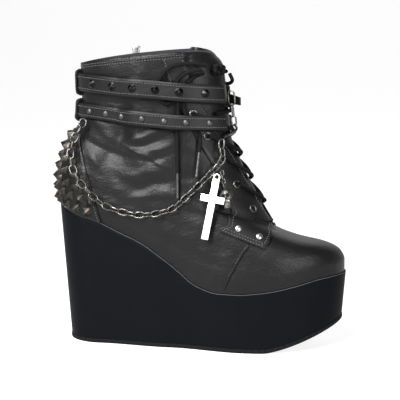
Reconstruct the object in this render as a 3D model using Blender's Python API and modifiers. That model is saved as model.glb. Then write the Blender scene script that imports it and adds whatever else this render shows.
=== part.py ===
"""A right wedge ankle boot: platform wedge, hollow laced upper with a real wall, straps, chain and pendants.

Metres, +Z up. +X runs to the toe and -Y is the outer (lateral) side. The origin lies on the flat underside of the
outsole, near the middle of its length. The upper is worked out from tilted rings that run round the last from
the back seam to the front line, and every piece that lies on it takes its place from the same rings.
"""

import math

import bmesh
import bpy
import numpy as np
from mathutils import Vector
from mathutils.bvhtree import BVHTree

# The last and the upper
LENGTH = 0.278
BEHIND_ORIGIN = 0.138
HEEL_HEIGHT = 0.134
PLATFORM = 0.0542
TOE_HEIGHT = 0.070
SHAFT_TOP = 0.280
BALL_HALF = 0.050
WALL = 0.002
WIDTH_BLEND = 0.020
TOE_SWING = 0.004
MEDIAL_RISE = 0.007

# The sole
OUTSOLE = 0.004
WEDGE_MARGIN = 0.0012
HEEL_SET_IN = 0.0105
TOE_SET_IN = 0.003
SPRING_START = 0.065
TOE_SPRING = 0.027
WAIST_HOLLOW = 0.0015
INSOLE = 0.003

# Clearances between neighbouring pieces
GAP = 0.0003
CURVE_GAP = 0.0005

# The throat and the tongue
THROAT_BOTTOM = 0.525
TONGUE_THICK = 0.004
TONGUE_PUFF = 0.0012

# Overlays, straps and their hardware
EYESTAY_THICK = 0.0014
COUNTER_THICK = 0.0012
STRAP_THICK = 0.0026
UPPER_STRAP_WIDTH = 0.0150
LOWER_STRAP_WIDTH = 0.0115
COUNTER_TOP = HEEL_HEIGHT + 0.479 * (SHAFT_TOP - HEEL_HEIGHT)
COUNTER_LOW = 0.004
COUNTER_LOW_X = 0.1547 * LENGTH - BEHIND_ORIGIN
COUNTER_TOP_X = 0.0917 * LENGTH - BEHIND_ORIGIN
COUNTER_SLANT = 0.30
STUD_ROW_PITCH = 0.0097
STUD_PITCH = 0.0110
UPPER_STRAP_REACH = 0.5647 * LENGTH - BEHIND_ORIGIN
LOWER_STRAP_REACH = 0.5719 * LENGTH - BEHIND_ORIGIN
STRAP_OUT = 0.0013
STRAP_FLARE = 0.0043
STRAP_FRONT_FLARE = 0.0024
KEEPER_THICK = 0.0018
STUD_BASE = 0.0084
STUD_HEIGHT = 0.0046
CONE_RADIUS = 0.0040
CONE_HEIGHT = 0.0042
DOME_RADIUS = 0.0030
RIVET_RADIUS = 0.0033
EYELET_RADIUS = 0.0042
EYELET_HOLE = 0.0022
EYELET_THICK = 0.0009

# The lace
LACE_RADIUS = 0.0018
TIP_RADIUS = 0.0014
TIP_LENGTH = 0.023

# The chain and what hangs from it
LINK_LENGTH = 0.0108
LINK_WIDTH = 0.0076
LINK_WIRE = 0.0015
CROSS_LENGTH = 0.056
CROSS_BAR = 0.022
CROSS_WIDTH = 0.0062
CROSS_ARM_DOWN = 0.0185
CROSS_RING = 0.0026
SMALL_LINK = 0.0060
SKULL_DOWN = 0.0245
SKULL_JAW = 0.0080
CROSS_THICK = 0.0018
SKULL_WIDTH = 0.0125

# The straps' front rings
RING_WIRE = 0.0016

# The zip on the inner side and the raised seams
SEAM_WIDTH = 0.0024
SEAM_THICK = 0.0009
SLIDER_WIDE = 0.0085
SLIDER_TALL = 0.0100
SLIDER_THICK = 0.0034
PULL_WIDE = 0.0050
PULL_LONG = 0.0200
PULL_THICK = 0.0012
ZIP_WIDTH = 0.0056
ZIP_THICK = 0.0009

# How finely the curved pieces are drawn
UPPER_ROWS = 19
UPPER_COLUMNS = 20
SOLE_COLUMNS = UPPER_COLUMNS + 1

# Rings of the upper, from the feather line to the collar. The first column is the share of the way up. The x
# columns are shares of LENGTH from the heel, the z columns shares of the rise to SHAFT_TOP from HEEL_HEIGHT at
# the back and from TOE_HEIGHT at the front, and the widths are shares of BALL_HALF. "sag" is how much of the
# feather line's dip the ring follows, "heel_round" the length of its rounded back and "fore" where its front
# starts to round.
RING_COLUMNS = ("up", "back_x", "back_z", "front_x", "front_z", "sag", "heel", "waist", "ball", "heel_round", "fore")
RINGS = (
    (0.000, 0.004, 0.000, 0.996, 0.000, 1.00, 0.64, 0.79, 1.00, 0.126, 0.658),
    (0.083, -0.002, 0.068, 0.996, 0.052, 0.92, 0.67, 0.82, 1.01, 0.126, 0.658),
    (0.167, -0.004, 0.137, 0.982, 0.100, 0.78, 0.68, 0.82, 0.98, 0.126, 0.647),
    (0.250, -0.002, 0.199, 0.950, 0.133, 0.60, 0.67, 0.81, 0.94, 0.126, 0.622),
    (0.333, 0.004, 0.260, 0.899, 0.155, 0.42, 0.66, 0.80, 0.90, 0.129, 0.586),
    (0.417, 0.014, 0.322, 0.838, 0.167, 0.20, 0.64, 0.79, 0.86, 0.137, 0.550),
    (0.500, 0.025, 0.384, 0.770, 0.181, 0.00, 0.62, 0.78, 0.82, 0.144, 0.496),
    (0.583, 0.040, 0.438, 0.734, 0.248, 0.00, 0.60, 0.77, 0.79, 0.151, 0.460),
    (0.667, 0.061, 0.500, 0.687, 0.362, 0.00, 0.59, 0.76, 0.78, 0.158, 0.406),
    (0.750, 0.077, 0.589, 0.640, 0.486, 0.00, 0.60, 0.75, 0.77, 0.165, 0.371),
    (0.833, 0.079, 0.699, 0.601, 0.629, 0.00, 0.64, 0.76, 0.76, 0.180, 0.353),
    (0.917, 0.078, 0.808, 0.590, 0.786, 0.00, 0.70, 0.78, 0.77, 0.198, 0.338),
    (1.000, 0.075, 0.918, 0.572, 1.000, 0.00, 0.76, 0.80, 0.79, 0.223, 0.331),
)

# The feather line: share of LENGTH from the heel, and share of the rise from PLATFORM to HEEL_HEIGHT behind the
# ball or to TOE_HEIGHT before it
HEEL_LINE = (
    (0.000, 1.000), (0.072, 0.880), (0.147, 0.800), (0.230, 0.675), (0.313, 0.550), (0.392, 0.365),
    (0.450, 0.212), (0.496, 0.088), (0.576, 0.004), (0.660, 0.000),
)
TOE_LINE = ((0.660, 0.000), (0.752, 0.190), (0.842, 0.530), (0.914, 0.840), (1.000, 1.000))

# How much narrower the inner side is than the outer one, as shares of its widths at the feather line
MEDIAL_SHARE = {"heel": 0.97, "waist": 0.82, "ball": 0.93}

# Half the width of the throat: share of the way up, share of BALL_HALF
THROAT = ((0.525, 0.00), (0.55, 0.10), (0.60, 0.17), (0.67, 0.21), (0.75, 0.26), (0.83, 0.44), (0.92, 0.62), (1.0, 0.70))

# The tongue: share of the way up, half width as a share of BALL_HALF, how far it lies inside the upper's
# outer face in walls
TONGUE = (
    (0.475, 0.26, 1.5), (0.58, 0.34, 1.35), (0.70, 0.44, 1.35), (0.83, 0.62, 1.35),
    (0.93, 0.72, 1.5), (0.972, 0.71, 1.9), (0.990, 0.69, 4.2), (1.000, 0.66, 7.0), (1.008, 0.60, 10.0),
)

def along(share):
    """The x at that share of LENGTH from the heel."""
    return share * LENGTH - BEHIND_ORIGIN


def rise_at(share):
    """The rise to SHAFT_TOP from the line between HEEL_HEIGHT and TOE_HEIGHT, at that share of LENGTH."""
    return SHAFT_TOP - HEEL_HEIGHT - (TOE_HEIGHT - HEEL_HEIGHT) * share


def places(*rows):
    """Shares turned into x and z: the first is of LENGTH from the heel, the second of the rise there. What follows
    them is kept."""
    return tuple((along(share), SHAFT_TOP - (1 - rise) * rise_at(share), *rest) for share, rise, *rest in rows)


# Places on the outer side, as shares that places() turns into x and z
EYESTAY_REAR = places(
    (0.5899, 0.0830), (0.6079, 0.1131), (0.6187, 0.1864), (0.5899, 0.2871), (0.5576, 0.3946), (0.5216, 0.4760),
    (0.4856, 0.5765), (0.4388, 0.7128), (0.4065, 0.8372), (0.3885, 0.9415),
)
EYESTAY_BOTTOM = places(
    (0.5899, 0.0830), (0.6583, 0.0645), (0.7374, 0.0450),
)
EYESTAY_FRONT = places(
    (0.7374, 0.0450), (0.7464, 0.0891), (0.7500, 0.1134), (0.7410, 0.1495),
)
EYELETS = places(
    (0.6835, 0.2094), (0.6295, 0.3183), (0.5827, 0.4381), (0.5324, 0.5474), (0.4874, 0.6586), (0.4568, 0.7974),
)
RIVETS = places(
    (0.6439, 0.1133), (0.7122, 0.0944),
)
VAMP_SEAM = places(
    (0.6799, 0.0502), (0.6601, 0.0066), (0.6439, -0.0416), (0.6151, -0.1329), (0.6007, -0.1928),
)
ZIP_LINE = places(
    (0.2662, 0.1536), (0.2608, 0.3853), (0.2518, 0.6299), (0.2446, 0.9753),
)
UPPER_STRAP = places(
    (0.0899, 0.7990), (0.2266, 0.7851), (0.3669, 0.7758), (0.4712, 0.7673), (0.5971, 0.7639),
)
LOWER_STRAP = places(
    (0.0899, 0.6211), (0.1871, 0.6202), (0.2986, 0.6124), (0.4496, 0.6081), (0.6151, 0.6197),
)
UPPER_STRAP_STUDS = tuple(along(share) for share in (0.1475, 0.2212, 0.2950, 0.3669, 0.4406, 0.5144))
LOWER_STRAP_STUDS = tuple(along(share) for share in (0.1331, 0.1942, 0.2572, 0.3237, 0.3957, 0.4622, 0.5288))

# The lace's free stretches: place, distance off the upper in metres, side
LACE_CORDS = {
    "lace_top_outer": places(
        (0.4676, 0.8181, 0.0056, -1.0000), (0.4856, 0.8503, 0.0056, -1.0000),
        (0.5144, 0.8742, 0.0056, -1.0000),
    ),
    "lace_top_inner": places(
        (0.4676, 0.8181, 0.0056, 1.0000), (0.4928, 0.8479, 0.0056, 1.0000), (0.5396, 0.8781, 0.0056, 1.0000),
        (0.5647, 0.8875, 0.0056, 1.0000),
    ),
    "lace_loop_outer": places(
        (0.5180, 0.9107, 0.0080, -1.0000), (0.4748, 0.9206, 0.0065, -1.0000),
        (0.4245, 0.9076, 0.0048, -1.0000), (0.3921, 0.8656, 0.0046, -1.0000),
        (0.3741, 0.7999, 0.0030, -1.0000), (0.3849, 0.7304, 0.0026, -1.0000),
        (0.3993, 0.7027, 0.0027, -1.0000), (0.4155, 0.7161, 0.0030, -1.0000),
        (0.4155, 0.7682, 0.0036, -1.0000), (0.4209, 0.8265, 0.0044, -1.0000),
    ),
    "lace_loop_inner": places(
        (0.5791, 0.8744, 0.0050, 1.0000), (0.5827, 0.8363, 0.0066, 1.0000), (0.5612, 0.8213, 0.0072, 1.0000),
        (0.5252, 0.8413, 0.0088, 1.0000), (0.5108, 0.8881, 0.0095, 1.0000), (0.5396, 0.9225, 0.0090, 1.0000),
    ),
    "lace_end_outer": places(
        (0.5036, 0.8878, 0.0115, -1.0000), (0.4676, 0.8749, 0.0090, -1.0000),
        (0.4388, 0.8334, 0.0046, -1.0000), (0.4317, 0.7927, 0.0044, -1.0000),
        (0.4388, 0.7300, 0.0043, -1.0000), (0.4388, 0.6496, 0.0042, -1.0000),
        (0.4371, 0.5689, 0.0034, -1.0000), (0.4388, 0.4543, 0.0028, -1.0000),
        (0.4406, 0.3398, 0.0028, -1.0000),
    ),
    "lace_end_inner": places(
        (0.4514, 0.7541, 0.0046, -1.0000), (0.4568, 0.7147, 0.0044, -1.0000),
        (0.4633, 0.6527, 0.0043, -1.0000), (0.4820, 0.6014, 0.0043, -1.0000),
        (0.5036, 0.5624, 0.0044, -1.0000), (0.5090, 0.5240, 0.0044, -1.0000),
        (0.5072, 0.4621, 0.0044, -1.0000),
    ),
}
KNOT = places((0.5576, 0.8927, 0.0034, -1.0000))[0]
KNOT_SIZE = (0.0085, 0.0045, 0.0042)
LACE_OVER_TONGUE = 0.0032
LACE_TUCK = 0.13

# The chain from the clasp to the lower keeper: place, distance off the upper's outer side in metres
CHAIN = places(
    (0.5594, 0.5297, 0.0125), (0.5612, 0.4833, 0.0127), (0.5683, 0.4352, 0.0125), (0.5576, 0.3890, 0.0110),
    (0.5324, 0.3336, 0.0060), (0.5000, 0.2725, 0.0036), (0.4604, 0.1993, 0.0036), (0.4388, 0.1613, 0.0036),
    (0.4101, 0.1291, 0.0036), (0.3597, 0.0918, 0.0036), (0.3022, 0.0656, 0.0036), (0.2374, 0.0632, 0.0046),
    (0.1942, 0.0785, 0.0070), (0.1619, 0.1078, 0.0100), (0.1331, 0.1457, 0.0114), (0.1079, 0.1956, 0.0114),
    (0.0899, 0.2554, 0.0114), (0.0845, 0.3263, 0.0114), (0.0899, 0.4004, 0.0114), (0.1079, 0.4703, 0.0110),
    (0.1187, 0.5280, 0.0085), (0.1169, 0.5700, 0.0062),
)

# The pendants' tops and how they lean, and the front rings: place, height as a share of the rise, width in metres
# and turn
CROSS_PLACE = places((0.55780, 0.32593, 0.01186))[0]
CROSS_LEAN = (-0.18, -0.14, -1.00)
SKULL_PLACE = places((0.57534, 0.37852, 0.00644))[0]
SKULL_LEAN = (0.20, -0.27, -1.00)
FRONT_RINGS = tuple(
    (places((share, rise, out))[0], tall * rise_at(share), wide, roll) for share, rise, out, tall, wide, roll in (
        (0.5827, 0.7463, 0.0085, 0.0818, 0.0080, 0.3),
        (0.5863, 0.6813, 0.0088, 0.0654, 0.0075, 1.7),
        (0.5892, 0.6300, 0.0090, 0.0571, 0.0068, 0.5),
    )
)
CLASP = places(
    (0.5906, 0.6110, 0.0092), (0.5953, 0.5899, 0.0095), (0.5906, 0.5675, 0.0100), (0.5799, 0.5549, 0.0108),
    (0.5701, 0.5441, 0.0116), (0.5629, 0.5358, 0.0122),
)
STRAP_TIP_LONG = 0.0110
STRAP_TIP_TALL = 0.0090
STRAP_TIP_TURN = 0.6


def through(table, x, column=1):
    """A smooth curve through a table's rows that never passes beyond them, as numbers for every x."""
    rows = np.array(table, float)
    at, value = rows[:, 0], rows[:, column]
    step = np.diff(at)
    slope = np.diff(value) / step
    tangent = np.zeros(len(at))
    tangent[0], tangent[-1] = slope[0], slope[-1]
    same_way = slope[:-1] * slope[1:] > 0
    total = np.where(same_way, slope[:-1] + slope[1:], 1.0)
    tangent[1:-1] = np.where(same_way, 2 * slope[:-1] * slope[1:] / total, 0.0)
    x = np.clip(np.asarray(x, float), at[0], at[-1])
    i = np.clip(np.searchsorted(at, x, side="right") - 1, 0, len(step) - 1)
    t = (x - at[i]) / step[i]
    rise = value[i] * (1 + 2 * t) * (1 - t) ** 2 + value[i + 1] * t**2 * (3 - 2 * t)
    return rise + step[i] * (tangent[i] * t * (1 - t) ** 2 - tangent[i + 1] * t**2 * (1 - t))


def share_of(x):
    """Where an x lies along the last, 0 at the heel and 1 at the toe."""
    return (np.asarray(x, float) + BEHIND_ORIGIN) / LENGTH


def feather(x):
    """Height of the wedge's upper edge at an x."""
    share = share_of(x)
    behind = (HEEL_HEIGHT - PLATFORM) * through(HEEL_LINE, share)
    before = (TOE_HEIGHT - PLATFORM) * through(TOE_LINE, share)
    return PLATFORM + behind + before


def smooth(t):
    t = np.clip(t, 0, 1)
    return t * t * (3 - 2 * t)


def ring(up):
    """The ring at that share of the way up, as lengths in metres by column name."""
    value = {name: through(RINGS, up, k) for k, name in enumerate(RING_COLUMNS) if k}
    for name in ("back_x", "front_x", "fore"):
        value[name] = value[name] * LENGTH - BEHIND_ORIGIN
    value["heel_round"] = value["heel_round"] * LENGTH
    value["back_z"] = HEEL_HEIGHT + value["back_z"] * (SHAFT_TOP - HEEL_HEIGHT)
    value["front_z"] = TOE_HEIGHT + value["front_z"] * (SHAFT_TOP - TOE_HEIGHT)
    return value


def upper_point(angle, up, side, beyond=0.0):
    """A point of the upper's outer face. The angle is 0 at the back seam and pi on the front line; side is -1 on
    the outer side and 1 on the inner one; "beyond" continues the top ring upwards by that share."""
    row = ring(up)
    share = (1 - np.cos(angle)) / 2
    x = row["back_x"] + share * (row["front_x"] - row["back_x"])
    low = ring(np.zeros_like(np.asarray(up, float)))
    line = low["back_z"] + (low["front_z"] - low["back_z"]) * np.clip(
        (x - low["back_x"]) / (low["front_x"] - low["back_x"]), 0, 1
    )
    z = row["back_z"] + (row["front_z"] - row["back_z"]) * share + row["sag"] * (feather(x) - line)
    inner = side > 0
    near_floor = (1 - up) ** 2
    width = {
        name: row[name] * BALL_HALF * np.where(inner, 1 - (1 - MEDIAL_SHARE[name]) * near_floor, 1.0)
        for name in ("heel", "waist", "ball")
    }
    heel_end = row["back_x"] + row["heel_round"]
    middle = (heel_end + row["fore"]) / 2
    reach = np.maximum((row["fore"] - heel_end) / 2, WIDTH_BLEND)
    to_waist = smooth((x - middle) / reach + 1)
    to_ball = smooth((x - middle) / reach)
    half = width["heel"] + (width["waist"] - width["heel"]) * to_waist + (width["ball"] - width["waist"]) * to_ball
    back = np.clip((heel_end - x) / row["heel_round"], 0, 1)
    front = np.clip((x - row["fore"]) / (row["front_x"] - row["fore"]), 0, 1)
    half = half * np.sqrt(np.clip(1 - back**2, 0, 1)) * np.sqrt(np.clip(1 - front**2.15, 0, 1))
    swing = TOE_SWING * smooth((share_of(x) - 0.6) / 0.4) * near_floor
    rise = MEDIAL_RISE * np.where(inner, np.sin(angle), 0.0) * smooth((up - 0.75) / 0.25)
    z = z + rise + beyond * (SHAFT_TOP - HEEL_HEIGHT)
    return np.stack(np.broadcast_arrays(x, side * half + swing, z), axis=-1)


def upper_normal(angle, up, side):
    """The outward direction of the upper's face."""
    step = 1e-3
    low, high = np.maximum(up - step, 0.0), np.minimum(up + step, 1.0)

    def past_seam(turned):
        crossed = (turned < 0) | (turned > math.pi)
        kept = np.where(turned > math.pi, 2 * math.pi - turned, np.abs(turned))
        return upper_point(kept, up, np.where(crossed, -side, side))

    along = past_seam(angle + step) - past_seam(angle - step)
    rise = upper_point(angle, high, side) - upper_point(angle, low, side)
    normal = np.cross(along, rise) * -np.asarray(side, float)[..., None]
    return normal / np.maximum(np.linalg.norm(normal, axis=-1, keepdims=True), 1e-12)


def off_upper(angle, up, side, out, beyond=0.0):
    """The upper's point moved outwards by a distance."""
    angle, up, side, out, beyond = np.broadcast_arrays(
        *[np.asarray(v, float) for v in (angle, up, side, out, beyond)]
    )
    return upper_point(angle, up, side, beyond) + upper_normal(angle, up, side) * out[..., None]


def halved(low, high, too_low, rounds=40):
    """The value between low and high where too_low stops being true."""
    for _ in range(rounds):
        middle = (low + high) / 2
        under = too_low(middle)
        low = np.where(under, middle, low)
        high = np.where(under, high, middle)
    return (low + high) / 2


def angle_at_x(x, up):
    """The angle of the ring's point at that x."""
    row = ring(up)
    share = np.clip((x - row["back_x"]) / (row["front_x"] - row["back_x"]), 0, 1)
    return np.arccos(1 - 2 * share)


def locate(x, z, side=-1.0):
    """The angle and the share of the way up of the upper's point with that x and z."""
    x, z = np.broadcast_arrays(np.asarray(x, float), np.asarray(z, float))
    zero = np.zeros(x.shape)
    up = halved(zero, zero + 1, lambda u: upper_point(angle_at_x(x, u), u, side + zero)[..., 2] < z)
    return angle_at_x(x, up), up


def up_at_height(angle, z, side):
    """The share of the way up where that angle reaches that height."""
    angle, z, side = np.broadcast_arrays(*[np.asarray(v, float) for v in (angle, z, side)])
    zero = np.zeros(angle.shape)
    return halved(zero, zero + 1, lambda u: upper_point(angle, u, side)[..., 2] < z)


def angle_at_half_width(half, up, side):
    """The angle, before the front line, where the ring is that far from the middle."""
    half, up, side = np.broadcast_arrays(*[np.asarray(v, float) for v in (half, up, side)])
    zero = np.zeros(half.shape)
    centre = upper_point(zero + math.pi, up, side)[..., 1]
    return halved(
        zero + math.pi * 0.6,
        zero + math.pi,
        lambda a: side * (upper_point(a, up, side)[..., 1] - centre) > half,
    )


def throat_angle(up, side):
    """The angle of the throat's edge; pi where the upper is closed in front."""
    half = BALL_HALF * through(THROAT, up)
    return np.where(up > THROAT_BOTTOM + 1e-6, angle_at_half_width(half, up, side), math.pi)


def material(name, colour, roughness, metallic=0.0):
    made = bpy.data.materials.new(name)
    made.use_nodes = True
    shader = made.node_tree.nodes["Principled BSDF"]
    shader.inputs["Base Color"].default_value = (*colour, 1.0)
    shader.inputs["Roughness"].default_value = roughness
    shader.inputs["Metallic"].default_value = metallic
    made.diffuse_color = (*colour, 1.0)
    return made


def collection(name):
    made = bpy.data.collections.new(name)
    bpy.context.scene.collection.children.link(made)
    return made


def new_object(name, mesh, look, group):
    made = bpy.data.objects.new(name, mesh)
    group.objects.link(made)
    if look:
        mesh.materials.append(look)
    return made


def grid_mesh(name, points, merge=1e-6):
    """An open sheet of quads through rows and columns of points."""
    rows, columns = points.shape[:2]
    bm = bmesh.new()
    verts = [[bm.verts.new(Vector(p)) for p in row] for row in points]
    for r in range(rows - 1):
        for c in range(columns - 1):
            bm.faces.new((verts[r][c], verts[r][c + 1], verts[r + 1][c + 1], verts[r + 1][c]))
    bmesh.ops.remove_doubles(bm, verts=bm.verts, dist=merge)
    mesh = bpy.data.meshes.new(name)
    bm.to_mesh(mesh)
    bm.free()
    mesh.shade_smooth()
    return mesh


def sheet(name, points, thick, outward, look, group):
    """A shell: the open sheet made solid. Thickness goes with the sheet's normal where outward is 1."""
    made = new_object(name, grid_mesh(name, points), look, group)
    solid = made.modifiers.new("Wall", "SOLIDIFY")
    solid.thickness = thick
    solid.offset = outward
    solid.use_even_offset = True
    return made


def freeze(made):
    """Applies what the modifiers make."""
    graph = bpy.context.evaluated_depsgraph_get()
    mesh = bpy.data.meshes.new_from_object(made.evaluated_get(graph))
    made.modifiers.clear()
    made.data = mesh
    return made


def ladder_solid(name, low, high, look, group):
    """A closed block between two outlines. Each outline is an array of levels: the outer side's points from the
    heel to the toe and then the inner side's, as (side, column, 3)."""
    walls = np.stack([low, *high]) if isinstance(high, list) else np.stack([low, high])
    levels, _, columns, _ = walls.shape
    bm = bmesh.new()
    verts = {}
    for level in range(levels):
        for side in (0, 1):
            for column in range(columns):
                ends = column in (0, columns - 1)
                key = (level, 0 if ends else side, column)
                if key not in verts:
                    verts[key] = bm.verts.new(Vector(walls[level, key[1], column]))

    def vert(level, side, column):
        return verts[(level, 0 if column in (0, columns - 1) else side, column)]

    for column in range(columns - 1):
        for side in (0, 1):
            for level in range(levels - 1):
                face = [vert(level, side, column), vert(level, side, column + 1)]
                face += [vert(level + 1, side, column + 1), vert(level + 1, side, column)]
                bm.faces.new(face if side == 0 else face[::-1])
        for level, turn in ((0, 1), (levels - 1, -1)):
            face = [vert(level, 0, column), vert(level, 1, column), vert(level, 1, column + 1), vert(level, 0, column + 1)]
            face = list(dict.fromkeys(face))
            bm.faces.new(face[::turn])
    bmesh.ops.recalc_face_normals(bm, faces=bm.faces)
    mesh = bpy.data.meshes.new(name)
    bm.to_mesh(mesh)
    bm.free()
    return new_object(name, mesh, look, group)


def plan_outline(out, lift):
    """Both sides of the feather outline, moved outwards in plan, at a height over the feather line."""
    angle = np.linspace(0, math.pi, SOLE_COLUMNS)
    sides = []
    for side in (-1.0, 1.0):
        points = upper_point(angle, np.zeros(SOLE_COLUMNS), np.full(SOLE_COLUMNS, side))
        along = np.gradient(points[:, :2], axis=0)
        along[0] = (0.0, side)
        along[-1] = (0.0, -side)
        normal = np.stack([along[:, 1], -along[:, 0]], axis=1) * -side
        normal /= np.linalg.norm(normal, axis=1, keepdims=True)
        moved = points[:, :2] + normal * out
        moved[0, 1] = points[0, 1]
        moved[-1, 1] = points[-1, 1]
        sides.append(np.column_stack([moved, feather(moved[:, 0]) + lift]))
    return np.array(sides)


def spring(x):
    """How far the toe lifts the underside off the floor."""
    toe = LENGTH - BEHIND_ORIGIN
    past = np.clip((np.asarray(x, float) - SPRING_START) / (toe - SPRING_START), 0, 1)
    return TOE_SPRING * past**1.35


def floor_outline(height, out=0.0):
    """The sole's outline at a height over its underside: set in at the heel's back and the toe, hollow at the
    waist."""
    top = plan_outline(WEDGE_MARGIN, 0.0)
    share = share_of(top[:, :, 0])
    x = top[:, :, 0] + (HEEL_SET_IN + out) * np.clip(1 - share / 0.75, 0, 1) - (TOE_SET_IN + out) * smooth(
        (share - 0.75) / 0.25
    )
    hollow = WAIST_HOLLOW * np.sin(math.pi * np.clip(share, 0, 1))
    y = top[:, :, 1] * (1 - (hollow + out) / BALL_HALF)
    return np.stack([x, y, spring(x) + height], axis=-1)


def add_sole(group, looks):
    under = floor_outline(0.0)
    ladder_solid("outsole", under, floor_outline(OUTSOLE), looks["rubber"], group)
    bottom = floor_outline(OUTSOLE + GAP, 0.0004)
    top = plan_outline(WEDGE_MARGIN, 0.0)
    top[:, :, 2] -= CURVE_GAP
    levels = []
    for share in (0.33, 0.67, 1.0):
        level = bottom + (top - bottom) * share
        levels.append(level)
    ladder_solid("wedge", bottom, levels, looks["cover"], group)
    inside = -(WALL + CURVE_GAP)
    ladder_solid("insole", plan_outline(inside, 0.0), plan_outline(inside, INSOLE), looks["lining"], group)


def add_upper(group, looks):
    """One hollow wall, open at the collar, the throat and underneath."""
    up = np.linspace(0, 1, UPPER_ROWS + 1)[:, None]
    turn = np.linspace(1, -1, 2 * UPPER_COLUMNS + 1)[None, :]
    side = np.where(turn > 0, 1.0, -1.0) + 0 * up
    up = up + 0 * turn
    angle = throat_angle(up, side) * np.abs(turn)
    return sheet("upper", upper_point(angle, up, side), WALL, -1.0, looks["leather"], group)


def add_tongue(group, looks):
    rows, columns = 15, 12
    place = np.linspace(TONGUE[0][0], TONGUE[-1][0], rows)[:, None]
    turn = np.linspace(-1, 1, columns + 1)[None, :]
    side = np.where(turn > 0, 1.0, -1.0) + 0 * place
    up = np.minimum(place, 1.0) + 0 * turn
    half = BALL_HALF * through(TONGUE, place)
    edge = angle_at_half_width(half + 0 * turn, up, side)
    angle = math.pi - (math.pi - edge) * np.abs(turn)
    deep = WALL * through(TONGUE, place, 2)
    gap_half = BALL_HALF * through(THROAT, up)
    centre = upper_point(np.full(up.shape, math.pi), up, side)[..., 1]
    across = np.abs(upper_point(angle, up, side)[..., 1] - centre)
    puff = (WALL + TONGUE_PUFF) * np.clip(1 - (across / np.maximum(gap_half, 1e-6)) ** 2, 0, 1)
    points = off_upper(angle, up, side, puff * smooth((place - 0.55) / 0.1) - deep, np.maximum(place - 1, 0))
    sheet("tongue", points, TONGUE_THICK, -1.0, looks["leather"], group)


def faces_of(made):
    """The finished faces of a piece, to measure distances from."""
    return BVHTree.FromObject(made, bpy.context.evaluated_depsgraph_get())


def lifted(points, normals, tree):
    """A grid raised until no place between its points is nearer than a gap to the faces below."""
    spread = np.linspace(0, 1, 5)
    for _ in range(3):
        short = np.zeros(points.shape[:2])
        for row in range(points.shape[0] - 1):
            for column in range(points.shape[1] - 1):
                (a, b), (c, d) = points[row:row + 2, column:column + 2]
                out = Vector(normals[row:row + 2, column:column + 2].sum(axis=(0, 1))).normalized()
                worst = 0.0
                for s in spread:
                    for t in spread:
                        at = Vector((a * (1 - t) + b * t) * (1 - s) + (c * (1 - t) + d * t) * s)
                        hit, _, _, down = tree.ray_cast(at + out * WALL, -out, 2 * WALL)
                        if hit is not None:
                            worst = max(worst, GAP + WALL - down)
                corner = short[row:row + 2, column:column + 2]
                np.maximum(corner, worst, out=corner)
        points = points + normals * short[..., None]
    return points


def patch(name, angle, up, side, thick, look, group, tree):
    """An overlay on the upper between grids of places."""
    points = lifted(off_upper(angle, up, side, CURVE_GAP), upper_normal(angle, up, side), tree)
    turned = np.cross(points[0, 1] - points[0, 0], points[1, 0] - points[0, 0])
    if np.dot(turned, upper_normal(angle[0, 0], up[0, 0], side[0, 0])) < 0:
        points = points[:, ::-1]
    return sheet(name, points, thick, 1.0, look, group)


def add_eyestay(name, side_value, group, looks, tree):
    """The facing along one edge of the throat, from its stitched lower tab up to the collar."""
    rows, columns = 16, 4
    across = np.linspace(0, 1, columns + 1)
    rear_angle, rear_up = locate(*np.array(EYESTAY_REAR).T)
    front_angle, front_up = locate(*np.array(EYESTAY_FRONT).T)
    low_angle, low_up = locate(*np.array(EYESTAY_BOTTOM).T)
    low_angle = np.interp(across, np.linspace(0, 1, len(low_angle)), low_angle)
    low_up = np.interp(across, np.linspace(0, 1, len(low_up)), low_up)
    up = low_up + (rear_up[-1] - low_up) * np.linspace(0, 1, rows + 1)[:, None]
    side = np.full(up.shape, side_value)
    rear = np.interp(up, rear_up, rear_angle)
    along_vamp = np.interp(up, front_up, front_angle)
    front = np.where(up > front_up[-1], throat_angle(np.maximum(up, front_up[-1]), side), along_vamp)
    edge = rear + (front - rear) * across
    closing = smooth((up - low_up) / 0.06)
    angle = low_angle + (edge - low_angle) * closing
    return patch(name, angle, up, side, EYESTAY_THICK, looks["leather"], group, tree)


def union(made, others):
    """Joins closed bodies to a piece with one Boolean."""
    made = freeze(made)
    added = bpy.data.objects.new(made.name + "_added", merged(others))
    bpy.data.collections["cutters"].objects.link(added)
    added.hide_render = True
    added.display_type = "WIRE"
    join = made.modifiers.new("Join", "BOOLEAN")
    join.operation = "UNION"
    join.object = added
    return made


def placed(mesh, at, normal, upright=Vector((0, 0, 1))):
    """Turns a mesh so that its Z follows a normal and its Y the upright, and moves it there."""
    z = Vector(normal).normalized()
    x = Vector(upright).cross(z).normalized()
    y = z.cross(x)
    for v in mesh.vertices:
        v.co = Vector(at) + x * v.co.x + y * v.co.y + z * v.co.z
    return mesh


def cone_mesh(sides, low, high, tall, sunk, turn=0.0):
    """A closed cone or frustum about Z from -sunk to tall."""
    bm = bmesh.new()
    bmesh.ops.create_cone(bm, cap_ends=True, segments=sides, radius1=low, radius2=high, depth=tall + sunk)
    for v in bm.verts:
        x, y = v.co.x, v.co.y
        v.co.x = x * math.cos(turn) - y * math.sin(turn)
        v.co.y = x * math.sin(turn) + y * math.cos(turn)
        v.co.z += (tall - sunk) / 2
    mesh = bpy.data.meshes.new("cone")
    bm.to_mesh(mesh)
    bm.free()
    return mesh


def counter_edge(z):
    """The x of the counter's front edge at a height."""
    return np.maximum(COUNTER_LOW_X - COUNTER_SLANT * (z - HEEL_HEIGHT), COUNTER_TOP_X)


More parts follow.
